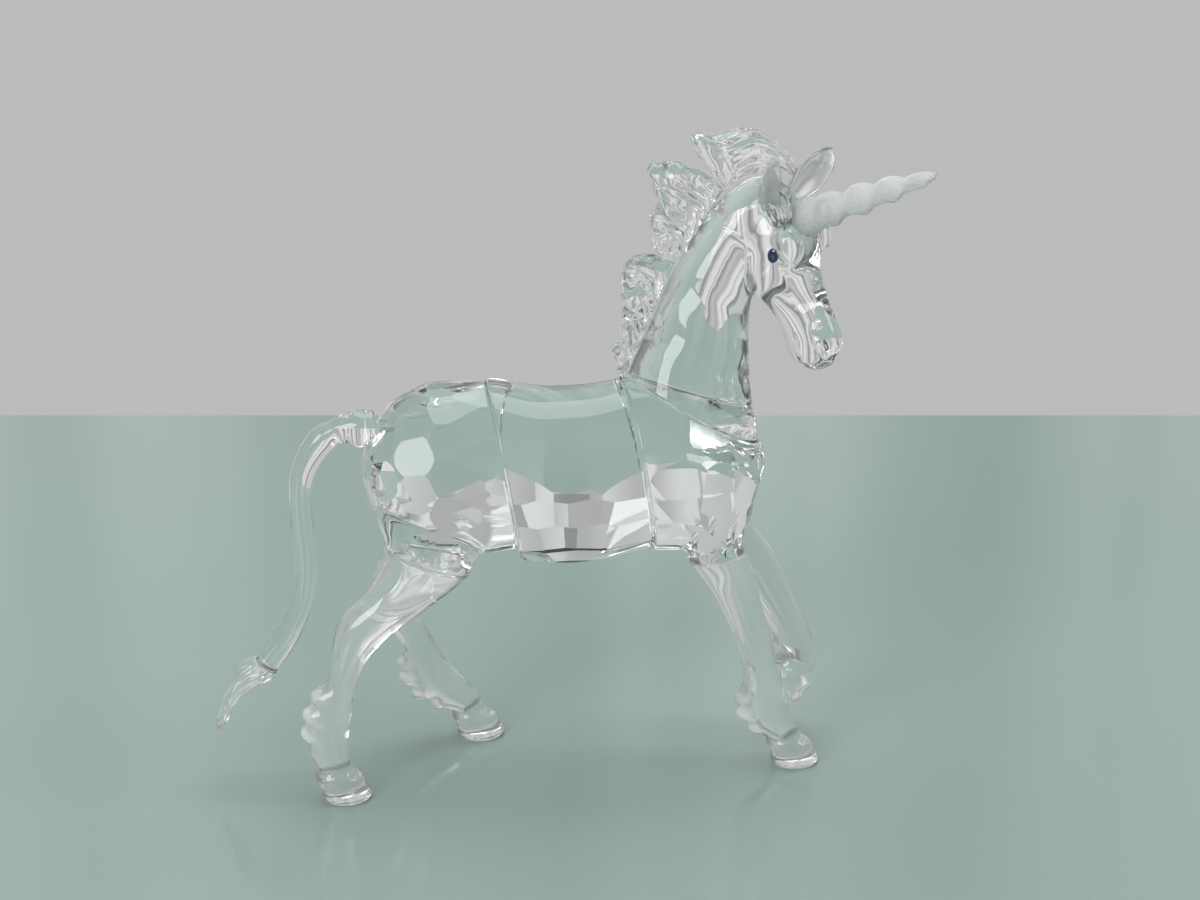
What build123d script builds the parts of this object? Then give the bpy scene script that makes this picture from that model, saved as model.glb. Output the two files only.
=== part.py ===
from build123d import *
import os
from math import cos, sin, radians, sqrt, pi, copysign

# Unicorn figurine of clear cut crystal, glued from separate pieces. Millimetres and degrees.
# X points where the animal faces, Y to its left, Z up. The ground is at z = 0.
# While it is modelled, x = 0 is under the withers; at the end everything moves
# to put the origin at the bottom centre of the bounding box.

# Trunk
trunk_axis_height = 54.0      # ground to the middle of the trunk
rump_length = 22.8            # rear seam back to the rump
barrel_length = 22.5          # rear seam to front seam
breast_length = 21.3          # front seam on to the breast
withers_to_front_seam = 6.1
seam_lean = 9.5               # glued faces lean back at the top
rump_half_width = 13.2
rump_half_height = 14.4
barrel_half_width = 12.9
barrel_half_height = 14.7
barrel_sag = 1.8              # its middle below the trunk axis
barrel_squareness = 2.2       # power of its section's curve; 2 is an ellipse
breast_half_width = 12.5
breast_half_height = 15.2

# Facets on the three trunk blocks
facet_rings = ((0, 1), (27, 6), (51, 11), (76, 15))   # tilt from the flank, facets in the ring
belly_rows = ((8, 3), (31, 4), (54, 3), (78, 4))      # tilt below the flank, facets in the row

# Neck, cut by a sloping seam on the chest
neck_seam_slope = 28.0
neck_seam_rise = 9.1          # trunk axis to the middle of the neck seam
neck_seam_advance = 9.55      # front seam to the middle of the neck seam
neck_height = 35.6            # neck seam to the poll
neck_half_depth = 12.4        # at the seam, crest to throat
neck_half_width = 9.4

# Head, turned to the animal's right and bowed
head_turn = 40.0
head_bow = 68.0
head_length = 28.4
head_half_width = 6.2
head_half_depth = 7.2

# Horn
horn_length = 23.5
horn_rise = 22.0
horn_radius = 2.9             # at the foot
horn_turns = 2.2              # of the two-start spiral
horn_foot_down = 5.4          # poll to the middle of the foot, along the face

# Ears
ear_length = 10.0
ear_half_width = 2.9
ear_half_thickness = 1.0

# Eyes
brow_radius = 2.5             # bone over each eye
eye_radius = 1.1
eye_seat_depth = 0.9
eye_proud = 0.35
eye_glue_gap = 0.04

# Mane, forelock
mane_half_thickness = 3.0
mane_squareness = 2.4         # power of a lock's section's curve
mane_bite = 1.2               # how far a clump's blank reaches into the neck before it is cut
forelock_length = 7.0
forelock_half_width = 2.1

# Tail
tail_drop = 41.0              # tail root down to the tuft
tail_reach = 17.5             # tail root back to the tuft
tail_radius = 1.85
tail_root_rise = 7.4          # trunk axis to the tail root
tail_tenon_radius = 1.6
tail_tenon_depth = 4.2        # from the rump's hindmost place inward
tail_glue_gap = 0.05
tuft_length = 14.4
tuft_half_width = 2.7

# Legs
hind_seam_drop = 13.4         # trunk axis down to the hind leg seams
fore_seam_drop = 14.9
hind_seam_setback = 12.8      # rear seam back to the right hind leg's seam
fore_seam_advance = 12.8      # front seam on to the right foreleg's seam
hind_leg_spread = 7.3         # from the middle plane to a leg at its seam
fore_leg_spread = 6.4
hind_hoof_splay = 3.2         # how much further out the hoof stands
fore_hoof_splay = 0.4
left_hind_lead = 0.9          # how much further forward the left seams lie
left_fore_lead = 3.6
hind_thigh_half_depth = 7.1
hind_thigh_half_width = 5.0
fore_arm_half_depth = 4.9
fore_arm_half_width = 4.5

# Hooves
hoof_height = 4.8
hoof_half_length = 4.1
hoof_half_width = 3.5
hoof_flex = 64.5              # of the raised hoof, toe down
feather_radius = 1.45         # knobs of hair behind the fetlock

# How far a blank or cutter runs past what it cuts
overrun = 4.0

# Roundness of the trunk blocks: half lengths of the rounded ends as shares of the block's length
rump_round_share = 0.614
rump_front_share = 1.45
breast_round_share = 0.70
breast_rear_share = 1.32
barrel_round_share = 1.07

# Barrel sections from the rear seam: place along it, then top, bottom and half width shares.
barrel_shares = (
    (-0.25, 1.136, 0.85, 1.00),
    (0.00, 1.105, 0.92, 1.00),
    (0.25, 1.020, 1.00, 1.02),
    (0.50, 1.000, 1.03, 1.02),
    (0.75, 1.027, 1.00, 1.01),
    (1.00, 1.100, 0.92, 0.98),
    (1.25, 1.143, 0.85, 0.97),
)

# Sections of the neck, from below the seam to the poll: height and advance as shares of
# neck_height, half depth and half width as shares of the seam's, tilt in degrees.
neck_shares = (
    (-0.13, -0.010, 1.040, 1.03, -27),
    (0.000, 0.000, 1.000, 1.00, -28),
    (0.180, 0.022, 0.870, 0.84, -32),
    (0.375, 0.050, 0.742, 0.72, -37),
    (0.565, 0.090, 0.625, 0.64, -42),
    (0.720, 0.150, 0.560, 0.60, -52),
    (0.850, 0.222, 0.525, 0.57, -62),
    (0.940, 0.298, 0.440, 0.50, -75),
)
neck_side_shares = (0, 0, 0, 0, 0, 0.014, 0.034, 0.050)

# Sections of the head: place along the face as a share of head_length, face side and jaw
# side as shares of head_half_depth, half width as a share of head_half_width.
head_shares = (
    (-0.110, 0.10, -0.55, 0.34),
    (-0.075, 0.30, -0.85, 0.56),
    (0.000, 0.52, -1.08, 0.76),
    (0.105, 0.70, -1.20, 0.90),
    (0.230, 0.80, -1.22, 1.00),
    (0.350, 0.78, -1.18, 1.00),
    (0.480, 0.68, -1.00, 0.86),
    (0.600, 0.64, -0.74, 0.68),
    (0.725, 0.65, -0.60, 0.62),
    (0.850, 0.70, -0.58, 0.64),
    (0.950, 0.60, -0.50, 0.58),
    (1.000, 0.38, -0.30, 0.38),
)

# Sections of a leg below its seam: advance and height as shares of the leg's height above
# the hoof, half depth and half width as shares of the seam's, tilt in degrees.
right_hind_shares = (
    (0.000, 1.000, 1.00, 1.00, -20),
    (-0.086, 0.893, 0.77, 0.90, -31),
    (-0.148, 0.830, 0.66, 0.82, -37),
    (-0.212, 0.773, 0.59, 0.76, -38),
    (-0.332, 0.660, 0.55, 0.67, -34),
    (-0.370, 0.578, 0.445, 0.58, -25),
    (-0.400, 0.474, 0.355, 0.50, -14),
    (-0.434, 0.373, 0.37, 0.52, -12),
    (-0.470, 0.233, 0.42, 0.58, -5),
    (-0.476, 0.110, 0.39, 0.54, 3),
    (-0.460, -0.02, 0.43, 0.60, 8),
)
left_hind_shares = (
    (0.000, 1.000, 1.00, 1.00, -12),
    (-0.075, 0.888, 0.77, 0.90, -20),
    (-0.125, 0.814, 0.65, 0.82, -22),
    (-0.165, 0.745, 0.59, 0.76, -18),
    (-0.187, 0.644, 0.535, 0.67, -5),
    (-0.168, 0.562, 0.44, 0.58, 12),
    (-0.115, 0.466, 0.37, 0.50, 22),
    (-0.052, 0.351, 0.365, 0.52, 24),
    (0.005, 0.222, 0.43, 0.58, 30),
    (0.100, 0.104, 0.415, 0.54, 38),
    (0.190, -0.01, 0.43, 0.60, 36),
)
right_fore_shares = (
    (0.000, 1.000, 1.00, 1.00, 10),
    (0.061, 0.887, 0.835, 0.86, 20),
    (0.116, 0.757, 0.715, 0.76, 23),
    (0.160, 0.635, 0.635, 0.68, 21),
    (0.200, 0.501, 0.61, 0.64, 19),
    (0.226, 0.400, 0.61, 0.64, 15),
    (0.256, 0.272, 0.65, 0.68, 14),
    (0.284, 0.168, 0.63, 0.66, 20),
    (0.330, 0.075, 0.61, 0.66, 26),
    (0.378, -0.01, 0.69, 0.74, 22),
)
left_fore_shares = (
    (0.000, 1.000, 1.00, 1.00, 20),
    (0.125, 0.835, 0.88, 0.90, 32),
    (0.232, 0.661, 0.755, 0.80, 27),
    (0.319, 0.501, 0.655, 0.70, 24),
    (0.380, 0.377, 0.63, 0.66, 14),
    (0.412, 0.290, 0.63, 0.66, -4),
    (0.438, 0.215, 0.58, 0.66, -28),
)

# Sections of a thigh or upper arm above its seam: advance, inward move and height as shares
# of the seam's drop below the trunk axis, half depth and half width as shares of the seam's.
thigh_shares = (
    (0.035, 0.06, 0.24, 1.17, 1.14, -14),
    (0.095, 0.13, 0.52, 1.36, 1.22, -8),
    (0.160, 0.22, 0.86, 1.40, 1.02, 0),
    (0.200, 0.30, 1.16, 1.05, 0.70, 0),
)
upper_arm_shares = (
    (-0.030, 0.04, 0.20, 1.12, 1.08, 6),
    (-0.060, 0.08, 0.48, 1.20, 1.10, 0),
    (-0.080, 0.12, 0.80, 1.02, 0.92, 0),
)

# Hoof sections from the sole up: height as a share of hoof_height, half length and half
# width as shares of the sole's, and how far the section slides back over the sole.
hoof_shares = (
    (0.000, 0.90, 0.90, 0.000),
    (0.080, 0.98, 0.98, 0.000),
    (0.260, 1.00, 1.00, -0.030),
    (0.640, 0.93, 0.96, -0.200),
    (0.900, 0.86, 0.92, -0.340),
    (1.000, 0.80, 0.88, -0.400),
)

# Knobs of the fetlock feather: place up the leg as a share of the leg's height above the
# hoof, how far their middle stands out of the leg as a share of feather_radius, size.
hind_feather_shares = ((0.330, 0.05, 0.85), (0.245, 0.50, 1.00), (0.165, 0.40, 1.00), (0.080, 0.00, 0.90))
fore_feather_shares = ((0.225, 0.30, 0.90), (0.155, 0.35, 1.00), (0.085, 0.10, 0.90))
raised_feather_shares = ((0.340, 0.00, 0.80), (0.270, 0.30, 0.95))

# Mane clumps, as rows of locks: advance and rise of a lock's root and tip from the middle of
# the neck seam, and its half thickness, as shares of neck_height and mane_half_thickness.
mane_lower_shares = (
    (-0.302, 0.174, -0.347, 0.194, 0.45),
    (-0.274, 0.244, -0.372, 0.267, 0.75),
    (-0.240, 0.329, -0.344, 0.351, 0.85),
    (-0.209, 0.404, -0.330, 0.447, 0.90),
    (-0.178, 0.480, -0.341, 0.542, 0.95),
    (-0.145, 0.556, -0.327, 0.632, 0.90),
    (-0.114, 0.626, -0.319, 0.705, 0.80),
    (-0.088, 0.680, -0.232, 0.728, 0.45),
)
mane_middle_shares = (
    (-0.077, 0.708, -0.204, 0.750, 0.60),
    (-0.038, 0.767, -0.204, 0.840, 0.85),
    (-0.001, 0.820, -0.198, 0.924, 0.95),
    (0.038, 0.874, -0.181, 1.008, 0.95),
    (0.077, 0.930, -0.215, 1.132, 0.90),
    (0.105, 0.975, -0.117, 1.154, 0.80),
    (0.128, 1.006, 0.024, 1.101, 0.50),
)
mane_crest_shares = (
    (0.140, 1.020, -0.024, 1.261, 0.60),
    (0.172, 1.045, 0.066, 1.267, 0.85),
    (0.206, 1.062, 0.150, 1.287, 1.00),
    (0.263, 1.079, 0.240, 1.300, 1.00),
    (0.319, 1.085, 0.330, 1.261, 0.95),
    (0.375, 1.085, 0.403, 1.199, 0.80),
    (0.415, 1.075, 0.448, 1.126, 0.50),
)

# Forelock sections: place along it, half width and half height as shares.
forelock_shares = (
    (0.00, 0.45, 0.45),
    (0.12, 0.85, 0.80),
    (0.40, 1.00, 1.00),
    (0.70, 0.85, 0.80),
    (0.92, 0.50, 0.50),
    (1.00, 0.22, 0.22),
)

# Ear sections from the root: place along it, half width and half thickness as shares.
ear_shares = (
    (0.00, 0.62, 1.00),
    (0.20, 0.82, 0.95),
    (0.48, 1.00, 0.80),
    (0.74, 0.86, 0.62),
    (0.92, 0.52, 0.45),
    (1.00, 0.18, 0.20),
)
ear_root_shares = (0.030, 0.33, 0.56)      # down the face, out of it and sideways
ear_aim_shares = (0.45, 0.60, 0.66)        # past the poll, out of the face and sideways
poll_shares = (0.310, -0.034, 0.997)       # neck seam to the poll, of neck_height
eye_down_share = 0.335                     # down the face, of head_length
eye_out_share = 0.14                       # out of the face, of head_half_depth
eye_side_share = 0.94                      # of head_half_width
brow_shares = (0.300, 0.56, 0.80)          # down the face, out of it and sideways
eye_round_share = 0.9                      # of what stands proud
horn_foot_out_share = 0.76                 # of head_half_depth
forelock_start_shares = (-0.02, 0.13, -0.10)
forelock_aim_shares = (0.75, 0.10, -0.30)

# Horn: place along it and radius, as shares.
horn_shares = (
    (-0.120, 0.80),
    (-0.040, 0.98),
    (0.040, 1.08),
    (0.120, 1.00),
    (0.200, 0.84),
    (0.300, 0.76),
    (0.420, 0.76),
    (0.540, 0.68),
    (0.660, 0.62),
    (0.780, 0.50),
    (0.890, 0.40),
    (0.970, 0.28),
    (1.000, 0.16),
)
horn_flat_share = 0.80                     # thin way over the wide way of the spiral's section

# Tail: reach and drop as shares of tail_reach and tail_drop, radius as a share of tail_radius.
tail_shares = (
    (-0.17, 0.000, 1.20),
    (0.00, 0.000, 1.42),
    (0.17, 0.000, 1.36),
    (0.34, 0.030, 1.30),
    (0.48, 0.100, 1.18),
    (0.575, 0.190, 1.05),
    (0.605, 0.325, 0.94),
    (0.590, 0.440, 1.02),
    (0.575, 0.560, 1.02),
    (0.600, 0.680, 0.96),
    (0.685, 0.795, 0.95),
    (0.830, 0.905, 1.05),
    (1.000, 1.000, 1.16),
)

# Tuft: place along it as a share of tuft_length, then how far its middle bows outward, half
# depth and half width as shares of tuft_half_width.
tuft_shares = (
    (0.00, 0.00, 0.80, 0.80),
    (0.08, 0.15, 1.00, 0.92),
    (0.20, 0.37, 0.98, 0.98),
    (0.34, 0.55, 0.76, 0.84),
    (0.50, 0.62, 0.54, 0.66),
    (0.70, 0.42, 0.43, 0.50),
    (0.88, 0.14, 0.33, 0.36),
    (0.97, 0.00, 0.18, 0.18),
)

front_seam_x = withers_to_front_seam
rear_seam_x = front_seam_x - barrel_length
rump_x = rear_seam_x - rump_length
breast_x = front_seam_x + breast_length
AXIS_X, AXIS_Y, AXIS_Z = Vector(1, 0, 0), Vector(0, 1, 0), Vector(0, 0, 1)


def heading(tilt):
    """Direction in the side view, tilted up from straight ahead."""
    return Vector(cos(radians(tilt)), 0, sin(radians(tilt)))


def ring_section(middle, across, side, half_plus, half_minus, half_side, power=2.0, count=16):
    """Closed curve about a middle: half sizes along and against across, and to the sides."""
    points = []
    for step in range(count):
        turn = 2 * pi * step / count
        along_share = copysign(abs(cos(turn)) ** (2 / power), cos(turn))
        side_share = copysign(abs(sin(turn)) ** (2 / power), sin(turn))
        half = half_plus if along_share > 0 else half_minus
        points.append(middle + across * (along_share * half) + side * (side_share * half_side))
    return Wire([Edge.make_spline(points, periodic=True)])


def lower_part(solid, plane):
    """What lies behind the plane, seen along its normal."""
    return solid.split(plane, keep=Keep.BOTTOM)


def upper_part(solid, plane):
    return solid.split(plane, keep=Keep.TOP)


def one_solid(shape):
    """The largest solid of a boolean's result."""
    solids = shape.solids() if hasattr(shape, "solids") else [s for item in shape for s in item.solids()]
    return max(solids, key=lambda solid: solid.volume)


def joined(first, *others):
    for other in others:
        first = one_solid(first.fuse(other))
    return first


def cleared(solid, *cutters):
    """The solid without the room that its neighbours take, so that they meet face to face."""
    for cutter in cutters:
        solid = one_solid(solid.cut(cutter))
    return solid


def seam_plane(x_place):
    """Glued face across the trunk, leaning back at the top."""
    return Plane(origin=(x_place, 0, trunk_axis_height), z_dir=heading(seam_lean))


def neck_seam_plane():
    middle = neck_seam_middle()
    return Plane(origin=middle, z_dir=heading(90 - neck_seam_slope))


def neck_seam_middle():
    return Vector(front_seam_x + neck_seam_advance, 0, trunk_axis_height + neck_seam_rise)


def facet_plane(middle, halves, offset, side):
    """Plane touching a rounded block. halves are its half length behind and before the middle,
    half width and half height; offset is the touching place, in the side view."""
    half_behind, half_before, half_width, half_height = halves
    half_length = half_before if offset[0] > 0 else half_behind
    along = offset[0] / half_length
    up = offset[1] / half_height
    out = side * sqrt(max(0, 1 - along * along - up * up))
    touch = middle + Vector(along * half_length, out * half_width, up * half_height)
    normal = Vector(along / half_length, out / half_width, up / half_height).normalized()
    return Plane(origin=touch, z_dir=normal)


def ring_offsets(half_length, half_height):
    """Touching places of the facets, in rings about the middle of the flank."""
    offsets = []
    for ring, (tilt, count) in enumerate(facet_rings):
        for step in range(count):
            turn = 2 * pi * (step + (ring % 2) / 2) / count
            reach = sin(radians(tilt))
            offsets.append((half_length * reach * cos(turn), half_height * reach * sin(turn)))
    return offsets


def row_offsets(length, half_height):
    """Touching places of the belly facets, in rows below the flank."""
    offsets = []
    for tilt, count in belly_rows:
        for step in range(count):
            share = (step + 1 / 2) / count - 1 / 2
            offsets.append((share * length, -half_height * sin(radians(tilt))))
    return offsets


def faceted(blank, middle, halves, offsets):
    for offset in offsets:
        for side in (-1, 1):
            blank = lower_part(blank, facet_plane(middle, halves, offset, side))
    return blank


def blank_block(middle, half_size):
    size = 2 * half_size
    corner = middle - Vector(half_size, half_size, half_size)
    return Solid.make_box(size, size, size).moved(Location(corner))


class Leg:
    """A leg's tables and places. side is -1 for the animal's right."""

    def __init__(self, seam, side, shares, stub_shares, half_depth, half_width, splay, knob_shares):
        self.seam = seam
        self.side = side
        self.shares = shares
        self.stub_shares = stub_shares
        self.half_depth = half_depth
        self.half_width = half_width
        self.splay = splay
        self.knob_shares = knob_shares
        self.height = seam.Z - hoof_height
        self.drop = trunk_axis_height - seam.Z

    def middle(self, advance, rise):
        """Middle of a section below the seam."""
        out = self.side * self.splay * (1 - rise)
        return self.seam + Vector(advance * self.height, out, (rise - 1) * self.height)

    def stub_middle(self, advance, inward, rise):
        """Middle of a section above the seam."""
        return self.seam + Vector(advance, -self.side * inward, rise) * self.drop

    def section(self, middle, depth_share, width_share, tilt):
        half_depth = self.half_depth * depth_share
        half_width = self.half_width * width_share
        return ring_section(middle, heading(tilt), AXIS_Y, half_depth, half_depth, half_width)

    def skin(self):
        """Leg and stub as one smooth solid, from the trunk down to the coronet."""
        wires = []
        for advance, inward, rise, depth_share, width_share, tilt in reversed(self.stub_shares):
            middle = self.stub_middle(advance, inward, rise)
            wires.append(self.section(middle, depth_share, width_share, tilt))
        for advance, rise, depth_share, width_share, tilt in self.shares:
            middle = self.middle(advance, rise)
            wires.append(self.section(middle, depth_share, width_share, tilt))
        return Solid.make_loft(wires)

    def seam_plane(self):
        """Glued face, square to the leg; its normal points down into the leg."""
        return Plane(origin=self.seam, z_dir=heading(self.shares[0][4] - 90))

    def stub(self):
        return self.skin().split(self.seam_plane(), keep=Keep.BOTTOM)

    def limb(self):
        return self.skin().split(self.seam_plane(), keep=Keep.TOP)

    def standing_hoof(self):
        coronet = self.middle(*self.shares[-1][:2])
        slide = hoof_shares[-1][3] * hoof_half_length
        return hoof(Vector(coronet.X - slide, coronet.Y, 0), AXIS_X, AXIS_Z)

    def raised_hoof(self):
        coronet = self.middle(*self.shares[-1][:2])
        toe = heading(-hoof_flex)
        up = heading(90 - hoof_flex)
        slide = hoof_shares[-1][3] * hoof_half_length
        return hoof(coronet - up * hoof_height - toe * slide, toe, up)

    def feather(self):
        """Knobs of hair behind the fetlock."""
        knobs = []
        for rise, out, size in self.knob_shares:
            advance, depth_share, tilt = self.between(rise)
            behind = self.half_depth * depth_share + feather_radius * out
            place = self.middle(advance, rise) - heading(tilt) * behind
            knobs.append(Solid.make_sphere(feather_radius * size).moved(Location(place)))
        return knobs

    def between(self, rise):
        """Advance, depth and tilt of the leg at a height share, from the table's nearest rows."""
        for upper, lower in zip(self.shares, self.shares[1:]):
            if lower[1] <= rise <= upper[1]:
                mix = (rise - lower[1]) / (upper[1] - lower[1])
                return [lower[column] + (upper[column] - lower[column]) * mix for column in (0, 2, 4)]


def hoof(sole_middle, toe, up):
    """Hoof with a rounded sole edge; toe and up are its own directions."""
    wires = []
    for rise, length_share, width_share, slide in hoof_shares:
        middle = sole_middle + up * (rise * hoof_height) + toe * (slide * hoof_half_length)
        half_length = hoof_half_length * length_share
        wires.append(ring_section(middle, toe, AXIS_Y, half_length, half_length, hoof_half_width * width_share))
    return Solid.make_loft(wires)


def four_legs():
    hind_z = trunk_axis_height - hind_seam_drop
    fore_z = trunk_axis_height - fore_seam_drop
    hind_x = rear_seam_x - hind_seam_setback
    fore_x = front_seam_x + fore_seam_advance
    thigh = (hind_thigh_half_depth, hind_thigh_half_width, hind_hoof_splay)
    arm = (fore_arm_half_depth, fore_arm_half_width, fore_hoof_splay)
    return {
        "hind_leg_right": Leg(Vector(hind_x, -hind_leg_spread, hind_z), -1, right_hind_shares,
                              thigh_shares, *thigh, hind_feather_shares),
        "hind_leg_left": Leg(Vector(hind_x + left_hind_lead, hind_leg_spread, hind_z), 1, left_hind_shares,
                             thigh_shares, *thigh, hind_feather_shares),
        "fore_leg_right": Leg(Vector(fore_x, -fore_leg_spread, fore_z), -1, right_fore_shares,
                              upper_arm_shares, *arm, fore_feather_shares),
        "fore_leg_left": Leg(Vector(fore_x + left_fore_lead, fore_leg_spread, fore_z), 1, left_fore_shares,
                             upper_arm_shares, *arm, raised_feather_shares),
    }


def finished_leg(leg, raised=False):
    foot = leg.raised_hoof() if raised else leg.standing_hoof()
    return joined(leg.limb(), foot, *leg.feather())


def hindquarters(legs):
    half_behind = rump_length * rump_round_share
    half_before = rump_length * rump_front_share
    middle = Vector(rump_x + half_behind, 0, trunk_axis_height)
    halves = (half_behind, half_before, rump_half_width, rump_half_height)
    block = blank_block(middle, rump_length + overrun)
    block = faceted(block, middle, halves, ring_offsets(half_behind, rump_half_height))
    block = cleared(block, legs["hind_leg_right"].limb(), legs["hind_leg_left"].limb())
    block = joined(block, legs["hind_leg_right"].stub(), legs["hind_leg_left"].stub())
    return lower_part(block, seam_plane(rear_seam_x))


def barrel():
    middle_x = (rear_seam_x + front_seam_x) / 2
    middle = Vector(middle_x, 0, trunk_axis_height - barrel_sag)
    wires = []
    for along, top_share, bottom_share, width_share in barrel_shares:
        place = middle + AXIS_X * ((along - 1 / 2) * barrel_length)
        wires.append(ring_section(place, AXIS_Z, AXIS_Y, barrel_half_height * top_share,
                                  barrel_half_height * bottom_share, barrel_half_width * width_share,
                                  barrel_squareness))
    block = Solid.make_loft(wires)
    half_length = barrel_length * barrel_round_share
    halves = (half_length, half_length, barrel_half_width, barrel_half_height)
    block = faceted(block, middle, halves, row_offsets(barrel_length, barrel_half_height))
    block = upper_part(block, seam_plane(rear_seam_x))
    return lower_part(block, seam_plane(front_seam_x))


def chest(legs):
    half_before = breast_length * breast_round_share
    half_behind = breast_length * breast_rear_share
    middle = Vector(breast_x - half_before, 0, trunk_axis_height)
    halves = (half_behind, half_before, breast_half_width, breast_half_height)
    block = blank_block(middle, breast_length + overrun)
    block = faceted(block, middle, halves, ring_offsets(half_before, breast_half_height))
    block = cleared(block, legs["fore_leg_right"].limb(), legs["fore_leg_left"].limb())
    block = joined(block, legs["fore_leg_right"].stub(), legs["fore_leg_left"].stub())
    block = lower_part(block, neck_seam_plane())
    return upper_part(block, seam_plane(front_seam_x))


def neck():
    base = neck_seam_middle()
    wires = []
    for row, aside in zip(neck_shares, neck_side_shares):
        rise, advance, depth_share, width_share, tilt = row
        middle = base + Vector(advance, -aside, rise) * neck_height
        half_depth = neck_half_depth * depth_share
        wires.append(ring_section(middle, heading(tilt), AXIS_Y, half_depth, half_depth,
                                  neck_half_width * width_share))
    return upper_part(Solid.make_loft(wires), neck_seam_plane())


class HeadFrame:
    """Directions of the turned, bowed head: down the face, out of it, and to the animal's left."""

    def __init__(self):
        turn, bow = radians(head_turn), radians(head_bow)
        self.poll = neck_seam_middle() + Vector(*poll_shares) * neck_height
        self.down = Vector(cos(turn) * cos(bow), -sin(turn) * cos(bow), -sin(bow))
        self.out = Vector(cos(turn) * sin(bow), -sin(turn) * sin(bow), cos(bow))
        self.left = Vector(sin(turn), cos(turn), 0)

    def place(self, down, out, left):
        return self.poll + self.down * down + self.out * out + self.left * left


def head(frame):
    wires = []
    for along, face_share, jaw_share, width_share in head_shares:
        middle_share = (face_share + jaw_share) / 2
        half_depth = head_half_depth * (face_share - jaw_share) / 2
        middle = frame.place(along * head_length, middle_share * head_half_depth, 0)
        wires.append(ring_section(middle, frame.out, frame.left, half_depth, half_depth,
                                  head_half_width * width_share))
    return Solid.make_loft(wires)


def eye_places(frame):
    """Middle of each eye on the cheek, with the direction out of its socket."""
    places = {}
    for name, side in (("eye_right", -1), ("eye_left", 1)):
        out = frame.left * side
        place = frame.place(eye_down_share * head_length, eye_out_share * head_half_depth,
                            side * head_half_width * eye_side_share)
        places[name] = (place, out)
    return places


def round_bar(start, direction, radius, length):
    return Solid.make_cylinder(radius, length, Plane(origin=start, z_dir=direction))


def brow(frame, side):
    down, out, aside = brow_shares
    place = frame.place(down * head_length, out * head_half_depth, side * aside * head_half_width)
    return Solid.make_sphere(brow_radius).moved(Location(place))


def neck_and_head(frame):
    body = joined(neck(), head(frame), brow(frame, -1), brow(frame, 1))
    for place, out in eye_places(frame).values():
        seat = place - out * eye_seat_depth
        body = cleared(body, round_bar(seat, out, eye_radius + eye_glue_gap, eye_seat_depth + overrun))
    return body


def eye(place, out):
    """Stone on the socket's floor, with a rounded front."""
    stone = round_bar(place - out * eye_seat_depth, out, eye_radius, eye_seat_depth + eye_proud)
    front = max(stone.edges().filter_by(GeomType.CIRCLE), key=lambda edge: edge.center().dot(out))
    return one_solid(stone.fillet(eye_proud * eye_round_share, [front]))


def horn(frame):
    turn, rise = radians(head_turn), radians(horn_rise)
    aim = Vector(cos(rise) * cos(turn), -cos(rise) * sin(turn), sin(rise))
    upright = aim.cross(frame.left)
    foot = frame.place(horn_foot_down, horn_foot_out_share * head_half_depth, 0)
    wires = []
    for along, radius_share in horn_shares:
        twist = 360 * horn_turns * along
        wide = frame.left * cos(radians(twist)) + upright * sin(radians(twist))
        thin = upright * cos(radians(twist)) - frame.left * sin(radians(twist))
        half = horn_radius * radius_share
        place = foot + aim * (along * horn_length)
        wires.append(ring_section(place, wide, thin, half, half, half * horn_flat_share))
    return Solid.make_loft(wires)


def ear(frame, side):
    down, out, aside = ear_root_shares
    root = frame.place(down * head_length, out * head_half_depth, side * aside * head_half_width)
    past, forward, outward = ear_aim_shares
    aim = (frame.down * -past + frame.out * forward + frame.left * (side * outward)).normalized()
    flat = aim.cross(frame.out).normalized()
    wires = []
    for along, width_share, thickness_share in ear_shares:
        half_width = ear_half_width * width_share
        wires.append(ring_section(root + aim * (along * ear_length), flat, flat.cross(aim), half_width,
                                  half_width, ear_half_thickness * thickness_share))
    return Solid.make_loft(wires)


def forelock(frame):
    """Clump that lies on the poll, between the ears, with its end on the near side of the face."""
    start = frame.place(*[share * head_length for share in forelock_start_shares])
    aim = (frame.down * forelock_aim_shares[0] + frame.out * forelock_aim_shares[1]
           + frame.left * forelock_aim_shares[2]).normalized()
    flat = aim.cross(frame.out).normalized()
    wires = []
    for along, width_share, height_share in forelock_shares:
        half_width = forelock_half_width * width_share
        wires.append(ring_section(start + aim * (along * forelock_length), flat, flat.cross(aim), half_width,
                                  half_width, forelock_half_width * height_share))
    return Solid.make_loft(wires)


def hair_clump(shares):
    """Row of locks that stand on the crest of the neck, as one smooth solid."""
    base = neck_seam_middle()
    wires = []
    for root_advance, root_rise, tip_advance, tip_rise, width_share in shares:
        root = base + Vector(root_advance, 0, root_rise) * neck_height
        tip = base + Vector(tip_advance, 0, tip_rise) * neck_height
        aim = (tip - root).normalized()
        root = root - aim * mane_bite
        half_reach = (tip - root).length / 2
        wires.append(ring_section(root + aim * half_reach, aim, AXIS_Y, half_reach, half_reach,
                                  mane_half_thickness * width_share, mane_squareness))
    return Solid.make_loft(wires)


def tail_root():
    return Vector(rump_x, 0, trunk_axis_height + tail_root_rise)


def tail_points():
    root = tail_root()
    return [root + Vector(-reach * tail_reach, 0, -drop * tail_drop) for reach, drop, _ in tail_shares]


def tail_aim():
    """Direction of the tail at the tuft."""
    points = tail_points()
    return (points[-1] - points[-2]).normalized()


def tail():
    points = tail_points()
    wires = []
    for place, before, after, row in zip(points, points[:1] + points, points[1:] + points[-1:], tail_shares):
        aim = tail_aim() if place == points[-1] else (after - before).normalized()
        radius = tail_radius * row[2]
        wires.append(ring_section(place, AXIS_Y, aim.cross(AXIS_Y), radius, radius, radius))
    return Solid.make_loft(wires)


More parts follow.
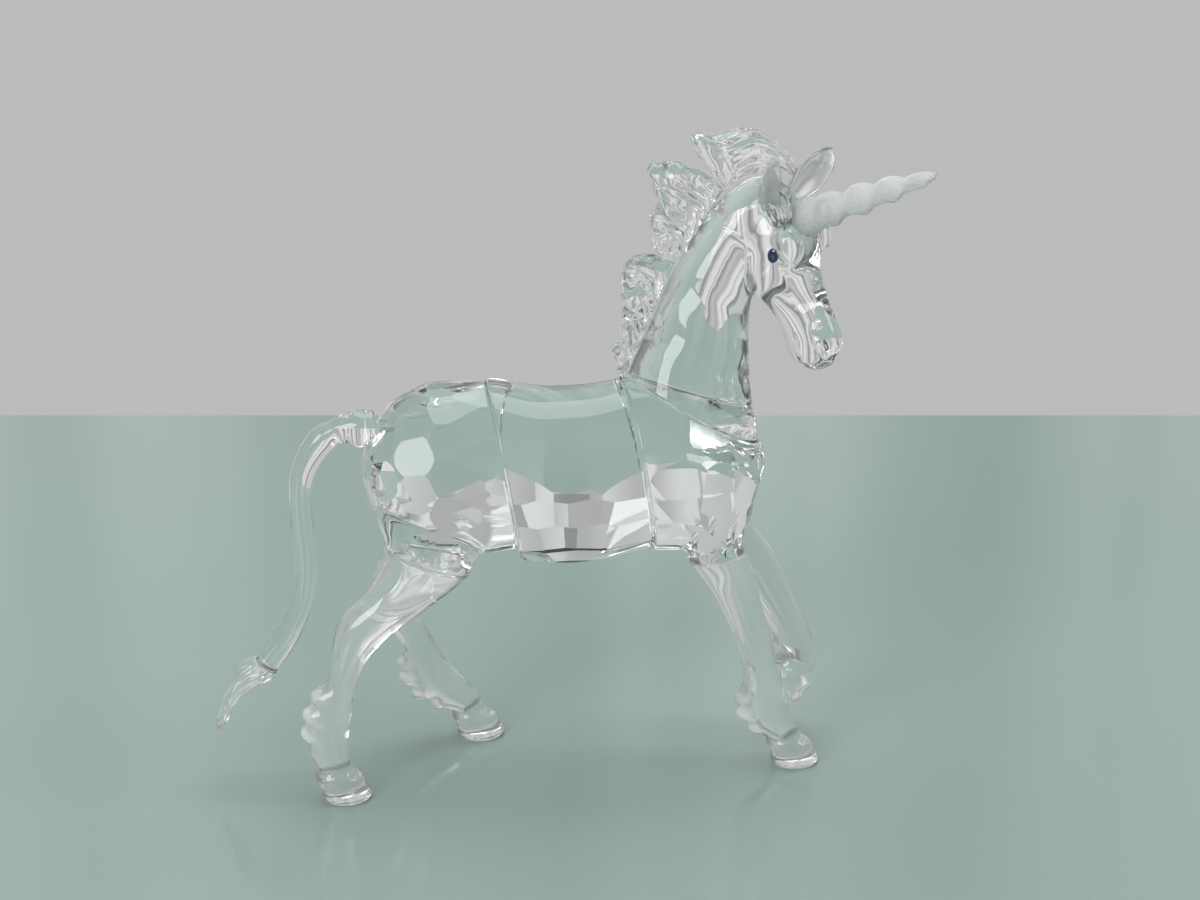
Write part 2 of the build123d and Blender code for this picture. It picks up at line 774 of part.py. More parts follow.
def tail_tuft():
    start = tail_points()[-1]
    aim = tail_aim()
    outward = AXIS_Y.cross(aim)
    wires = []
    for along, bow, depth_share, width_share in tuft_shares:
        middle = start + aim * (along * tuft_length) + outward * (bow * tuft_half_width)
        half_depth = tuft_half_width * depth_share
        wires.append(ring_section(middle, outward, AXIS_Y, half_depth, half_depth,
                                  tuft_half_width * width_share))
    return Solid.make_loft(wires)


def figurine():
    """Every piece by its name, in place."""
    legs = four_legs()
    frame = HeadFrame()
    pieces = {name: finished_leg(leg, name == "fore_leg_left") for name, leg in legs.items()}
    rump = hindquarters(legs)
    tenon = round_bar(tail_root() - AXIS_X * tail_radius, AXIS_X, tail_tenon_radius,
                      tail_radius + tail_tenon_depth)
    bore = round_bar(tail_root() - AXIS_X * tail_radius, AXIS_X, tail_tenon_radius + tail_glue_gap,
                     tail_radius + tail_tenon_depth + tail_glue_gap)
    pieces["tail"] = joined(cleared(tail(), rump), tenon)
    pieces["tail_tuft"] = tail_tuft()
    pieces["hindquarters"] = cleared(rump, bore)
    pieces["barrel"] = barrel()
    pieces["chest"] = chest(legs)
    body = neck_and_head(frame)
    pieces["neck_and_head"] = body
    pieces["horn"] = cleared(horn(frame), body)
    for name, (place, out) in eye_places(frame).items():
        pieces[name] = eye(place, out)
    pieces["ear_right"] = cleared(ear(frame, -1), body)
    pieces["ear_left"] = cleared(ear(frame, 1), body)
    pieces["mane_lower"] = cleared(hair_clump(mane_lower_shares), body, pieces["chest"], pieces["barrel"])
    pieces["mane_middle"] = cleared(hair_clump(mane_middle_shares), body, pieces["mane_lower"])
    ears = (pieces["ear_right"], pieces["ear_left"])
    pieces["mane_crest"] = cleared(hair_clump(mane_crest_shares), body, pieces["mane_middle"], *ears)
    pieces["forelock"] = cleared(forelock(frame), body, pieces["horn"], pieces["mane_crest"], *ears)
    return pieces


def centred(pieces):
    """Moves all pieces alike, to put the origin at the bottom centre of the bounding box."""
    box = Compound(list(pieces.values())).bounding_box()
    shift = Vector(-box.center().X, -box.center().Y, -box.min.Z)
    return {name: piece.moved(Location(shift)) for name, piece in pieces.items()}


os.makedirs("parts", exist_ok=True)
for name, piece in centred(figurine()).items():
    export_step(piece, f"parts/{name}.step")
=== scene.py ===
from math import cos, sin, radians, pi, sqrt

import bmesh
import bpy
import numpy as np
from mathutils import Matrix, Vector
from mathutils.bvhtree import BVHTree


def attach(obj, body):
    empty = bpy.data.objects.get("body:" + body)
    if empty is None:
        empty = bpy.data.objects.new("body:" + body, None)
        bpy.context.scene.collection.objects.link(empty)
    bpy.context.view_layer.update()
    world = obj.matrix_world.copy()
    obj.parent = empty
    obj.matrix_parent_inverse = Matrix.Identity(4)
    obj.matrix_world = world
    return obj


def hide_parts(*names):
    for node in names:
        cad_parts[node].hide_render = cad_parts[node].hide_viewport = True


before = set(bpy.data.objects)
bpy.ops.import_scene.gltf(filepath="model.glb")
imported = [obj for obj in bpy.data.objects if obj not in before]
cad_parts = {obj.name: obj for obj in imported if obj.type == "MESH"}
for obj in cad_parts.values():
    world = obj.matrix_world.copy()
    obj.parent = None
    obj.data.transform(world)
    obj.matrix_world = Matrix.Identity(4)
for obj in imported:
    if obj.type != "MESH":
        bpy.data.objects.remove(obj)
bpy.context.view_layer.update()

# The figurine is modelled in millimetres with x = 0 under the withers, as the CAD source has it,
# and then moved to the frame's origin and scaled to metres.
TO_FRAME = np.array([8.2513, 3.0302, 0.0])
MM = 0.001
X, Y, Z = np.eye(3)

# Sizes are in millimetres, tilts in degrees from straight ahead. A table lists the sections or
# spots of a piece, mostly in shares of its sizes.

# Trunk: halves are (behind, before, width, height), facet columns are (place along the block,
# lowest tilt, highest tilt), flats are (tilt below the middle, how many), and barrel rows are
# (along, top, bottom, width). The blank stands proud of the halves by egg_grow.
trunk_z = 54.0
rear_seam, front_seam, seam_lean = -16.4, 6.1, 9.5
rump_x, breast_x = -39.2, 27.4
rump_halves = (14.0, 33.1, 13.2, 14.4)
breast_halves = (28.1, 14.9, 12.5, 15.2)
egg_grow = 0.35
rump_tile, rump_lowest_flat = 6.0, 46.0
breast_tile, breast_lowest_flat = 5.5, 43.0
flat_depth, flat_reach, flat_mean_reach = 0.4, 9.0, 2.2
rump_columns = ((-10.9, 6, 91), (-5.9, -14, 91), (0.0, -14, 91), (6.0, -14, 91), (12.0, -14, 91))
breast_columns = ((-6.0, -48, -14), (0.0, -52, 4), (5.6, -48, 16), (10.4, -48, 26), (13.6, -38, 16))
barrel_half_width, barrel_half_height, barrel_sag = 12.9, 14.7, 1.8
barrel_power, barrel_bulge = 2.2, 1.07
barrel_flats = ((8, 3), (31, 4), (54, 3), (78, 4))
barrel_rows = (
    (-0.25, 1.136, 0.85, 1.0), (0.0, 1.105, 0.92, 1.0), (0.25, 1.02, 1.0, 1.02),
    (0.5, 1.0, 1.03, 1.02), (0.75, 1.027, 1.0, 1.01), (1.0, 1.1, 0.92, 0.98),
    (1.25, 1.143, 0.85, 0.97),
)

# Neck: rows are (rise, advance, depth, width, tilt, aside), ovals are (x, z, depth)
neck_seam_slope = 28.0
neck_foot = np.array([15.65, 0, 63.1])
neck_height = 35.6
neck_halves = (12.4, 9.4)
neck_rows = (
    (-0.13, -0.01, 1.04, 1.03, -27, 0), (0.0, 0.0, 1.0, 1.0, -28, 0),
    (0.18, 0.022, 0.87, 0.84, -32, 0), (0.375, 0.05, 0.742, 0.72, -37, 0),
    (0.565, 0.09, 0.625, 0.64, -42, 0), (0.72, 0.15, 0.56, 0.6, -52, 0.014),
    (0.85, 0.222, 0.525, 0.57, -62, 0.034), (0.94, 0.298, 0.44, 0.5, -75, 0.05),
)
neck_ovals = ((13.6, 83.4, 0.28), (10.6, 76.6, 0.2), (21.5, 79.8, 0.28))
oval_half_length, oval_half_height = 2.0, 2.6
crest_tilt, crest_frost, crest_facing, crest_fade = -37.0, 0.65, 0.55, 0.25

# Head: rows are (along, face, jaw, width), swellings are (place, radius, stretch), and dents are
# (place, spread, height). Places and ways on it are (down the face, out of the brow, aside).
head_turn, head_bow = 40.0, 68.0
head_length, head_half_width, head_half_depth, head_power = 28.4, 6.2, 7.2, 2.15
head_rows = (
    (-0.11, 0.1, -0.55, 0.34), (-0.075, 0.3, -0.85, 0.56), (0.0, 0.52, -1.08, 0.76),
    (0.105, 0.7, -1.2, 0.9), (0.23, 0.8, -1.22, 1.0), (0.35, 0.78, -1.18, 1.0),
    (0.48, 0.68, -1.0, 0.86), (0.6, 0.64, -0.74, 0.68), (0.725, 0.65, -0.6, 0.62),
    (0.85, 0.7, -0.58, 0.64), (0.95, 0.6, -0.5, 0.58), (1.0, 0.38, -0.3, 0.38),
)
head_swellings = (
    ((8.5, 4.0, 4.9), 2.5, (1.25, 0.95, 1.0)),   # brow
    ((10.6, -4.4, 2.9), 3.4, (1.25, 1.1, 0.95)),   # cheek
    ((25.4, 2.4, 2.4), 1.5, (1.25, 1.0, 0.9)),   # side of the nose
)
chin = ((26.0, -2.5, 0), 1.7, (1.0, 0.9, 1.35))
head_dents = (
    ((9.5, 1.0, 6.0), (2.3, 1.7, 2.5), -0.45),   # eye socket
    ((15.5, 1.0, 3.9), (4.0, 1.3, 2.2), -0.55),   # hollow beside the nose
    ((26.3, 2.2, 2.9), (1.0, 0.55, 1.2), -0.65),   # nostril
    ((25.2, 3.2, 2.6), (1.3, 0.7, 1.3), 0.25),   # nostril's upper edge
    ((7.0, -5.5, 4.5), (3.0, 2.5, 2.5), 0.25),   # back of the cheek
)
mouth_depth, mouth_half_width = 0.35, 0.32
poll = neck_foot + np.array([0.31, -0.034, 0.997]) * neck_height
turn, bow = radians(head_turn), radians(head_bow)
head_down = np.array([cos(turn) * cos(bow), -sin(turn) * cos(bow), -sin(bow)])
head_out = np.array([cos(turn) * sin(bow), -sin(turn) * sin(bow), cos(bow)])
head_left = np.array([sin(turn), cos(turn), 0])

# Horn: rows are (along, radius). The spiral's ridges and the finer ones between them are shares
# of the radius and of the ridge.
horn_length, horn_rise, horn_radius, horn_turns = 23.5, 22.0, 2.9, 2.2
horn_ridge, horn_between = 0.16, 0.25
horn_foot = (5.4, 0.76 * head_half_depth, 0)
horn_rows = (
    (-0.06, 0.9), (-0.02, 1.02), (0.04, 1.08), (0.12, 1.0), (0.2, 0.84), (0.3, 0.76),
    (0.42, 0.76), (0.54, 0.68), (0.66, 0.62), (0.78, 0.5), (0.89, 0.4), (0.97, 0.28),
    (1.0, 0.16),
)

# Ears: rows are (along, width, thickness). The root is in shares of the head's sizes.
ear_length, ear_half_width, ear_half_thickness = 10.0, 2.9, 1.45
ear_root, ear_aim = (0.03, 0.33, 0.56), (-0.45, 0.6, 0.66)
ear_hollow, ear_back, ear_curl = 1.15, 0.35, 1.1
ear_frost = 0.5
ear_rows = (
    (0.0, 0.62, 1.0), (0.2, 0.82, 0.95), (0.48, 1.0, 0.8), (0.74, 0.86, 0.62),
    (0.92, 0.52, 0.45), (1.0, 0.18, 0.2),
)

# Eyes: rows are (how far out, size)
eye_root = (0.335, 0.14, 0.94)
eye_radius = 1.1
eye_long, eye_wide = eye_radius * 1.12, eye_radius * 0.86
eye_rows = (
    (-0.45, 1.0), (-0.15, 1.0), (0.0, 0.985), (0.1, 0.92), (0.19, 0.8), (0.27, 0.6),
    (0.32, 0.36), (0.345, 0.12),
)

# Hair: mane rows are (root x, root z, tip x, tip z, width), in neck heights from the neck's foot,
# and forelock rows are (along, width, height)
mane_lower_rows = (
    (-0.302, 0.174, -0.347, 0.194, 0.45), (-0.274, 0.244, -0.372, 0.267, 0.75),
    (-0.24, 0.329, -0.344, 0.351, 0.85), (-0.209, 0.404, -0.33, 0.447, 0.9),
    (-0.178, 0.48, -0.341, 0.542, 0.95), (-0.145, 0.556, -0.327, 0.632, 0.9),
    (-0.114, 0.626, -0.319, 0.705, 0.8), (-0.088, 0.68, -0.232, 0.728, 0.45),
)
mane_middle_rows = (
    (-0.077, 0.708, -0.204, 0.75, 0.6), (-0.038, 0.767, -0.204, 0.84, 0.85),
    (-0.001, 0.82, -0.198, 0.924, 0.95), (0.038, 0.874, -0.181, 1.008, 0.95),
    (0.077, 0.93, -0.215, 1.132, 0.9), (0.105, 0.975, -0.117, 1.154, 0.8),
    (0.128, 1.006, 0.024, 1.101, 0.5),
)
mane_crest_rows = (
    (0.14, 1.02, -0.024, 1.261, 0.6), (0.172, 1.045, 0.066, 1.267, 0.85),
    (0.206, 1.062, 0.15, 1.287, 1.0), (0.263, 1.079, 0.24, 1.3, 1.0),
    (0.319, 1.085, 0.33, 1.261, 0.95), (0.375, 1.085, 0.403, 1.199, 0.8),
    (0.415, 1.075, 0.448, 1.126, 0.5),
)
mane_half_thickness, mane_power, mane_lift, mane_dome = 3.0, 2.4, 0.35, 0.6
forelock_rows = (
    (0.0, 0.45, 0.45), (0.12, 0.85, 0.8), (0.4, 1.0, 1.0), (0.7, 0.85, 0.8),
    (0.92, 0.5, 0.5), (1.0, 0.22, 0.22),
)
forelock_length, forelock_half_width = 7.0, 2.1
forelock_root, forelock_aim = (-0.02, 0.13, -0.1), (0.75, 0.1, -0.3)

# Tail: rows are (reach, drop, radius), lips are (height, along, spread), and tuft rows are
# (along, bow out, depth, width)
tail_drop, tail_reach, tail_radius, tail_root_rise = 41.0, 17.5, 1.85, 7.4
tail_lips = ((0.45, 0.085, 0.022), (-0.3, 0.15, 0.03))
tail_rows = (
    (-0.1, 0.0, 1.55), (0.0, 0.0, 1.5), (0.17, 0.0, 1.36), (0.34, 0.03, 1.3),
    (0.48, 0.1, 1.18), (0.575, 0.19, 1.05), (0.605, 0.325, 0.94), (0.59, 0.44, 1.02),
    (0.575, 0.56, 1.02), (0.6, 0.68, 0.96), (0.685, 0.795, 0.95), (0.83, 0.905, 1.05),
    (1.0, 1.0, 1.16),
)
tuft_rows = (
    (0.0, 0.0, 0.8, 0.8), (0.08, 0.15, 1.0, 0.92), (0.2, 0.37, 0.98, 0.98),
    (0.34, 0.55, 0.76, 0.84), (0.5, 0.62, 0.54, 0.66), (0.7, 0.42, 0.43, 0.5),
    (0.88, 0.14, 0.33, 0.36), (0.97, 0.0, 0.18, 0.18),
)
tuft_length, tuft_half_width = 14.4, 2.7

# Legs: rows are (advance, rise, depth, width, tilt) below the seam, thigh and arm rows are
# (advance, inward, rise, depth, width, tilt) above it, hoof rows are (rise, length, width, slide),
# and knobs are (rise, size) of the feather's lumps
hoof_height, hoof_halves, hoof_flex, hoof_toe = 4.8, (4.1, 3.5), 64.5, 0.4
groove_rise, groove_share = 0.35, 0.8
sole_lift = 0.03
lump_spread, base_spread, base_share = (3.2, 2.6, 1.7), (5.0, 4.5, 5.0), 0.75
leg_frost, leg_frost_gain = 0.25, 1.1
thigh_rows = (
    (0.035, 0.06, 0.24, 1.17, 1.14, -14), (0.095, 0.13, 0.52, 1.36, 1.22, -8),
    (0.16, 0.22, 0.86, 1.4, 1.02, 0), (0.2, 0.3, 1.16, 1.05, 0.7, 0),
)
arm_rows = (
    (-0.03, 0.04, 0.2, 1.12, 1.08, 6), (-0.06, 0.08, 0.48, 1.2, 1.1, 0),
    (-0.08, 0.12, 0.8, 1.02, 0.92, 0),
)
right_hind_rows = (
    (0.0, 1.0, 1.0, 1.0, -20), (-0.086, 0.893, 0.77, 0.9, -31),
    (-0.148, 0.83, 0.66, 0.82, -37), (-0.212, 0.773, 0.59, 0.76, -38),
    (-0.332, 0.66, 0.55, 0.67, -34), (-0.37, 0.578, 0.445, 0.58, -25),
    (-0.4, 0.474, 0.355, 0.5, -14), (-0.434, 0.373, 0.37, 0.52, -12),
    (-0.47, 0.233, 0.42, 0.58, -5), (-0.476, 0.11, 0.39, 0.54, 3), (-0.46, 0.02, 0.43, 0.6, 8),
)
left_hind_rows = (
    (0.0, 1.0, 1.0, 1.0, -12), (-0.075, 0.888, 0.77, 0.9, -20),
    (-0.125, 0.814, 0.65, 0.82, -22), (-0.165, 0.745, 0.59, 0.76, -18),
    (-0.187, 0.644, 0.535, 0.67, -5), (-0.168, 0.562, 0.44, 0.58, 12),
    (-0.115, 0.466, 0.37, 0.5, 22), (-0.052, 0.351, 0.365, 0.52, 24),
    (0.005, 0.222, 0.43, 0.58, 30), (0.1, 0.104, 0.415, 0.54, 38), (0.18, 0.02, 0.43, 0.6, 36),
)
right_fore_rows = (
    (0.0, 1.0, 1.0, 1.0, 10), (0.061, 0.887, 0.835, 0.86, 20),
    (0.116, 0.757, 0.715, 0.76, 23), (0.16, 0.635, 0.635, 0.68, 21),
    (0.2, 0.501, 0.61, 0.64, 19), (0.226, 0.4, 0.61, 0.64, 15),
    (0.256, 0.272, 0.65, 0.68, 14), (0.284, 0.168, 0.63, 0.66, 20),
    (0.33, 0.075, 0.61, 0.66, 26), (0.372, 0.01, 0.69, 0.74, 22),
)
left_fore_rows = (
    (0.0, 1.0, 1.0, 1.0, 20), (0.125, 0.835, 0.88, 0.9, 32),
    (0.232, 0.661, 0.755, 0.8, 27), (0.319, 0.501, 0.655, 0.7, 24),
    (0.38, 0.377, 0.63, 0.66, 14), (0.412, 0.29, 0.63, 0.66, -4),
    (0.438, 0.215, 0.58, 0.66, -28),
)
hoof_rows = (
    (1.0, 0.8, 0.88, -0.4), (0.9, 0.9, 0.95, -0.34), (0.64, 0.94, 0.97, -0.2),
    (0.26, 1.0, 1.0, -0.03), (0.08, 0.98, 0.98, 0.0), (0.0, 0.9, 0.9, 0.0),
)
hind = dict(halves=(7.1, 5.0), splay=3.2, stub=thigh_rows)
fore = dict(halves=(4.9, 4.5), splay=0.4, stub=arm_rows)
legs = {
    "hind_leg_right": dict(
        hind, seam=(-29.2, -7.3, 40.6), side=-1, rows=right_hind_rows,
        knobs=((0.356, 1.0), (0.272, 1.25), (0.192, 1.2), (0.1, 0.5))),
    "hind_leg_left": dict(
        hind, seam=(-28.3, 7.3, 40.6), side=1, rows=left_hind_rows,
        knobs=((0.335, 1.5), (0.262, 1.8), (0.19, 1.5), (0.12, 0.8))),
    "fore_leg_right": dict(
        fore, seam=(18.9, -6.4, 39.1), side=-1, rows=right_fore_rows,
        knobs=((0.262, 1.2), (0.188, 1.5), (0.112, 1.0))),
    "fore_leg_left": dict(
        fore, seam=(22.5, 6.4, 39.1), side=1, rows=left_fore_rows,
        knobs=((0.34, 0.6), (0.27, 0.9))),
}

# Mesh work: melts are (cell, rounds of easing), rim_cuts are shares of a rim's width, margins say
# what counts as on a plane
trunk_melt, head_melt = (0.4, 16), (0.34, 15)
trunk_rim, leg_rim, neck_rim = 0.5, 0.4, 0.35
rim_cuts, rim_roll = (1.0, 0.75, 0.5, 0.3, 0.14, 0.04), 0.8
glue_gap, side_margin = 0.02, 0.4
seam_margin, slice_margin, flat_margin, flat_level = 0.004, 1e-5, 1e-4, 1e-3
flank_ray, eye_ray = 8, 6
dome_steps = 7


# Shapes as rows of sections

def unit(vector):
    vector = np.asarray(vector, float)
    return vector / np.linalg.norm(vector)


def heading(tilt):
    """Direction in the side view, tilted up from straight ahead."""
    return np.array([cos(radians(tilt)), 0, sin(radians(tilt))])


def section(middle, across, side, half, half_side, half_below=None):
    """One oval: its middle, its two ways, and how far it reaches along each."""
    half_below = half if half_below is None else half_below
    return np.concatenate([middle, across, side, [half, half_below, half_side]])


def cubic(knots, rows, at):
    """Natural cubic spline through the rows."""
    count, gap = len(knots), np.diff(knots)
    left, right = np.zeros((count, count)), np.zeros_like(rows)
    left[0, 0] = left[-1, -1] = 1
    for i in range(1, count - 1):
        left[i, i - 1:i + 2] = gap[i - 1], 2 * (gap[i - 1] + gap[i]), gap[i]
        right[i] = 6 * ((rows[i + 1] - rows[i]) / gap[i] - (rows[i] - rows[i - 1]) / gap[i - 1])
    bend = np.linalg.solve(left, right)
    i = np.clip(np.searchsorted(knots, at, side="right") - 1, 0, count - 2)
    before, after, gap = (at - knots[i])[:, None], (knots[i + 1] - at)[:, None], gap[i][:, None]
    return ((bend[i] * after ** 3 + bend[i + 1] * before ** 3) / (6 * gap)
            + (rows[i] / gap - bend[i] * gap / 6) * after
            + (rows[i + 1] / gap - bend[i + 1] * gap / 6) * before)


def flowing(rows, count):
    """Many sections along a smooth way through the given ones."""
    rows = np.array(rows)
    steps = np.linalg.norm(np.diff(rows[:, :3], axis=0), axis=1)
    knots = np.concatenate([[0], np.cumsum(np.maximum(steps, 0.3))])
    out = cubic(knots, rows, np.linspace(0, knots[-1], count))
    for column in (3, 6):
        out[:, column:column + 3] /= np.linalg.norm(out[:, column:column + 3], axis=1)[:, None]
    return out


def capped(rows, length):
    """Adds a rounded end to the sections."""
    aim = unit(rows[-1, :3] - rows[-2, :3])
    extra = np.repeat(rows[-1:], dome_steps, 0)
    swing = np.linspace(0, pi / 2, dome_steps + 2)[1:-1]
    extra[:, :3] += np.outer(np.sin(swing) * length, aim)
    extra[:, 9:] *= np.cos(swing)[:, None]
    return np.concatenate([rows, extra])


def domed(rows, end, start):
    """Adds a rounded end and a rounded start."""
    return capped(capped(rows, end)[::-1], start)[::-1]


def circle(around):
    return np.linspace(0, 2 * pi, around, endpoint=False)


def ring_grid(rows, around, power=2.0):
    """Rings of points on the sections, squarer than ellipses where the power is over 2."""
    swing = circle(around)
    c = np.sign(np.cos(swing)) * abs(np.cos(swing)) ** (2 / power)
    s = np.sign(np.sin(swing)) * abs(np.sin(swing)) ** (2 / power)
    half = np.where(c > 0, rows[:, 9:10], rows[:, 10:11])
    return (rows[:, None, :3] + rows[:, None, 3:6] * (half * c)[..., None]
            + rows[:, None, 6:9] * (rows[:, 11:12] * s)[..., None])


def outward(grid):
    """Direction out of the surface at each point of the rings."""
    normal = np.cross(np.gradient(grid, axis=0), np.roll(grid, -1, 1) - np.roll(grid, 1, 1))
    normal /= np.linalg.norm(normal, axis=2, keepdims=True) + 1e-9
    side = (normal * (grid - grid.mean(1, keepdims=True))).sum(2, keepdims=True)
    return normal * np.sign(side)


def skin(grid):
    """Points and faces of a closed surface over the rings."""
    rings, around = grid.shape[:2]
    points = np.concatenate([grid.reshape(-1, 3), grid[:1].mean(1), grid[-1:].mean(1)])
    faces = []
    for i in range(rings - 1):
        low, high = i * around, (i + 1) * around
        for j in range(around):
            k = (j + 1) % around
            faces.append((low + j, low + k, high + k, high + j))
    last = (rings - 1) * around
    for j in range(around):
        k = (j + 1) % around
        faces.append((k, j, rings * around))
        faces.append((last + j, last + k, rings * around + 1))
    return points, faces


# Meshes

def surface(*skins):
    """Skins as one bmesh, each with its faces turned outward."""
    mesh = bpy.data.meshes.new("work")
    points, faces, start = [], [], 0
    for some_points, some_faces in skins:
        points.append(some_points)
        faces += [[start + corner for corner in face] for face in some_faces]
        start += len(some_points)
    mesh.from_pydata(np.concatenate(points).tolist(), [], faces)
    bm = bmesh.new()
    bm.from_mesh(mesh)
    bpy.data.meshes.remove(mesh)
    bmesh.ops.recalc_face_normals(bm, faces=bm.faces)
    return bm


def new_object(name, data):
    thing = bpy.data.objects.new(name, data)
    bpy.context.scene.collection.objects.link(thing)
    return thing


def smooth_all(bm):
    for face in bm.faces:
        face.smooth = True
    return bm


def smooth_blank(grid):
    return smooth_all(surface(skin(grid)))


def melted(skins, cell, rounds):
    """One smooth closed surface round all that overlaps."""
    bm = surface(*skins)
    mesh = bpy.data.meshes.new("work")
    bm.to_mesh(mesh)
    bm.free()
    thing = new_object("work", mesh)
    remesh = thing.modifiers.new("melt", "REMESH")
    remesh.mode, remesh.voxel_size = "VOXEL", cell
    ease = thing.modifiers.new("ease", "SMOOTH")
    ease.factor, ease.iterations = 0.5, rounds
    graph = bpy.context.evaluated_depsgraph_get()
    done = bpy.data.meshes.new_from_object(thing.evaluated_get(graph))
    bm = bmesh.new()
    bm.from_mesh(done)
    bpy.data.objects.remove(thing)
    bpy.data.meshes.remove(mesh)
    bpy.data.meshes.remove(done)
    return smooth_all(bm)


def parts_of(faces):
    """Faces with their edges and corners, in an order that is the same each run."""
    return list(dict.fromkeys(part for face in faces for part in (face, *face.edges, *face.verts)))


def on_side(bm, side):
    """Everything wholly on one side of the body, or everything there is."""
    if not side:
        return bm.verts[:] + bm.edges[:] + bm.faces[:]
    faces = [face for face in bm.faces
             if all(vert.co.y * side > side_margin for vert in face.verts)]
    return parts_of(faces)


def cut_off(bm, place, normal, margin, side=0):
    """Takes off all beyond the plane. Gives the middle of the rim and the flats that close it."""
    cut = bmesh.ops.bisect_plane(bm, geom=on_side(bm, side), plane_co=Vector(place),
                                 plane_no=Vector(normal), dist=margin, clear_outer=True)
    edges = [item for item in cut["geom_cut"] if isinstance(item, bmesh.types.BMEdge)]
    rim_points = [vert.co for edge in edges for vert in edge.verts]
    middle = sum(rim_points, Vector()) / max(1, len(rim_points))
    faces = bmesh.ops.holes_fill(bm, edges=edges, sides=0)["faces"]
    for face in faces:
        face.smooth = False
    return middle, faces


def seamed(bm, place, normal, rim=trunk_rim, side=0):
    """Cuts the piece flat along a glued face, beyond the normal, and rounds the face's rim."""
    place, normal = Vector(place), Vector(normal)
    for share in rim_cuts:
        bmesh.ops.bisect_plane(bm, geom=on_side(bm, side), plane_co=place - normal * (rim * share),
                               plane_no=normal, dist=seam_margin)
    middle, faces = cut_off(bm, place, normal, seam_margin, side)
    for face in faces:
        face.material_index = 1
    bm.normal_update()
    for vert in bm.verts:
        depth = (place - vert.co).dot(normal)
        if depth < rim and vert.co.y * side >= 0:
            share = 1 - max(depth, 0) / rim
            out = vert.co - middle
            out -= normal * out.dot(normal)
            vert.co -= out.normalized() * (rim * rim_roll * (1 - sqrt(max(0, 1 - share * share))))


def faceted(bm, place, normal):
    """Grinds one flat: what stands beyond the plane, near the place, is taken off."""
    normal = normal.normalized()
    beyond = [vert for vert in bm.verts if (vert.co - place).length < flat_reach
              and (vert.co - place).dot(normal) > flat_margin]
    if not beyond:
        return
    linked = [min(beyond, key=lambda vert: (vert.co - place).length)]
    left = set(beyond) - set(linked)
    for vert in linked:
        for edge in vert.link_edges:
            other = edge.other_vert(vert)
            if other in left:
                left.remove(other)
                linked.append(other)
    parts = parts_of([face for vert in linked for face in vert.link_faces])
    bmesh.ops.bisect_plane(bm, geom=parts, plane_co=place, plane_no=normal, dist=flat_margin)
    flats = {}
    for vert in linked:
        if vert.is_valid:
            for face in vert.link_faces:
                heights = [(corner.co - place).dot(normal) for corner in face.verts]
                if min(heights) > -2 * flat_margin and max(heights) > flat_margin:
                    flats[face] = True
    for vert in {vert for face in flats for vert in face.verts}:
        vert.co -= normal * (vert.co - place).dot(normal)
    if not flats:
        return
    bmesh.ops.dissolve_faces(bm, faces=list(flats))
    for face in bm.faces:
        if len(face.verts) > 4:
            level = abs((face.calc_center_median() - place).dot(normal)) < flat_level
            if level and (abs(face.normal.dot(normal)) > 0.999 or face.normal.length < 0.5):
                face.smooth = False


def ground(bm, spots, lowest):
    """Flats ground at the spots, each (point, direction in) where a ray meets the smooth blank."""
    tree = BVHTree.FromBMesh(bm)
    for start, aim in spots:
        place = tree.ray_cast(Vector(start), Vector(aim))[0]
        if place is None or place.z < lowest:
            continue
        mean = Vector()
        for _, normal, _, _ in tree.find_nearest_range(place, flat_mean_reach):
            mean += normal
        mean.normalize()
        faceted(bm, place - mean * flat_depth, mean)


def flank_spots(middle, halves, columns, tile):
    """Spots on both flanks, row over row, each second column half a tile higher."""
    half_behind, half_before, half_width, half_height = halves
    spots = []
    for number, (along, lowest, highest) in enumerate(columns):
        half_length = half_before if along > 0 else half_behind
        size = sqrt(1 - (along / half_length) ** 2)
        step = tile / (half_height * size)
        for tilt in np.arange(radians(lowest) + (number % 2) * step / 2, radians(highest), step):
            out, up = cos(tilt) * size, sin(tilt) * size
            for side in (-1, 1):
                touch = middle + np.array([along, side * out * half_width, up * half_height])
                aim = unit([along / half_length ** 2, side * out / half_width, up / half_height])
                spots.append((touch + aim * flank_ray, -aim))
    return spots


def piece(name, bm, slot, glued=False):
    """The finished mesh as an object in the frame, standing for its CAD node."""
    for edge in bm.edges:
        if len(edge.link_faces) == 2 and not all(face.smooth for face in edge.link_faces):
            edge.smooth = False
    mesh = bpy.data.meshes.new(name)
    bm.to_mesh(mesh)
    bm.free()
    points = np.zeros(len(mesh.vertices) * 3)
    mesh.vertices.foreach_get("co", points)
    mesh.vertices.foreach_set("co", ((points.reshape(-1, 3) + TO_FRAME) * MM).ravel())
    mesh.update()
    mesh.materials.append(looks[slot])
    if glued:
        mesh.materials.append(glue)
    thing = new_object(name + "_glass", mesh)
    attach(thing, "root")
    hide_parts(name)
    return thing


def frosted(bm, values):
    """How frosted the glass is at each point, for its material."""
    frost = bm.verts.layers.float.new("frost")
    for vert, value in zip(bm.verts, values):
        vert[frost] = value


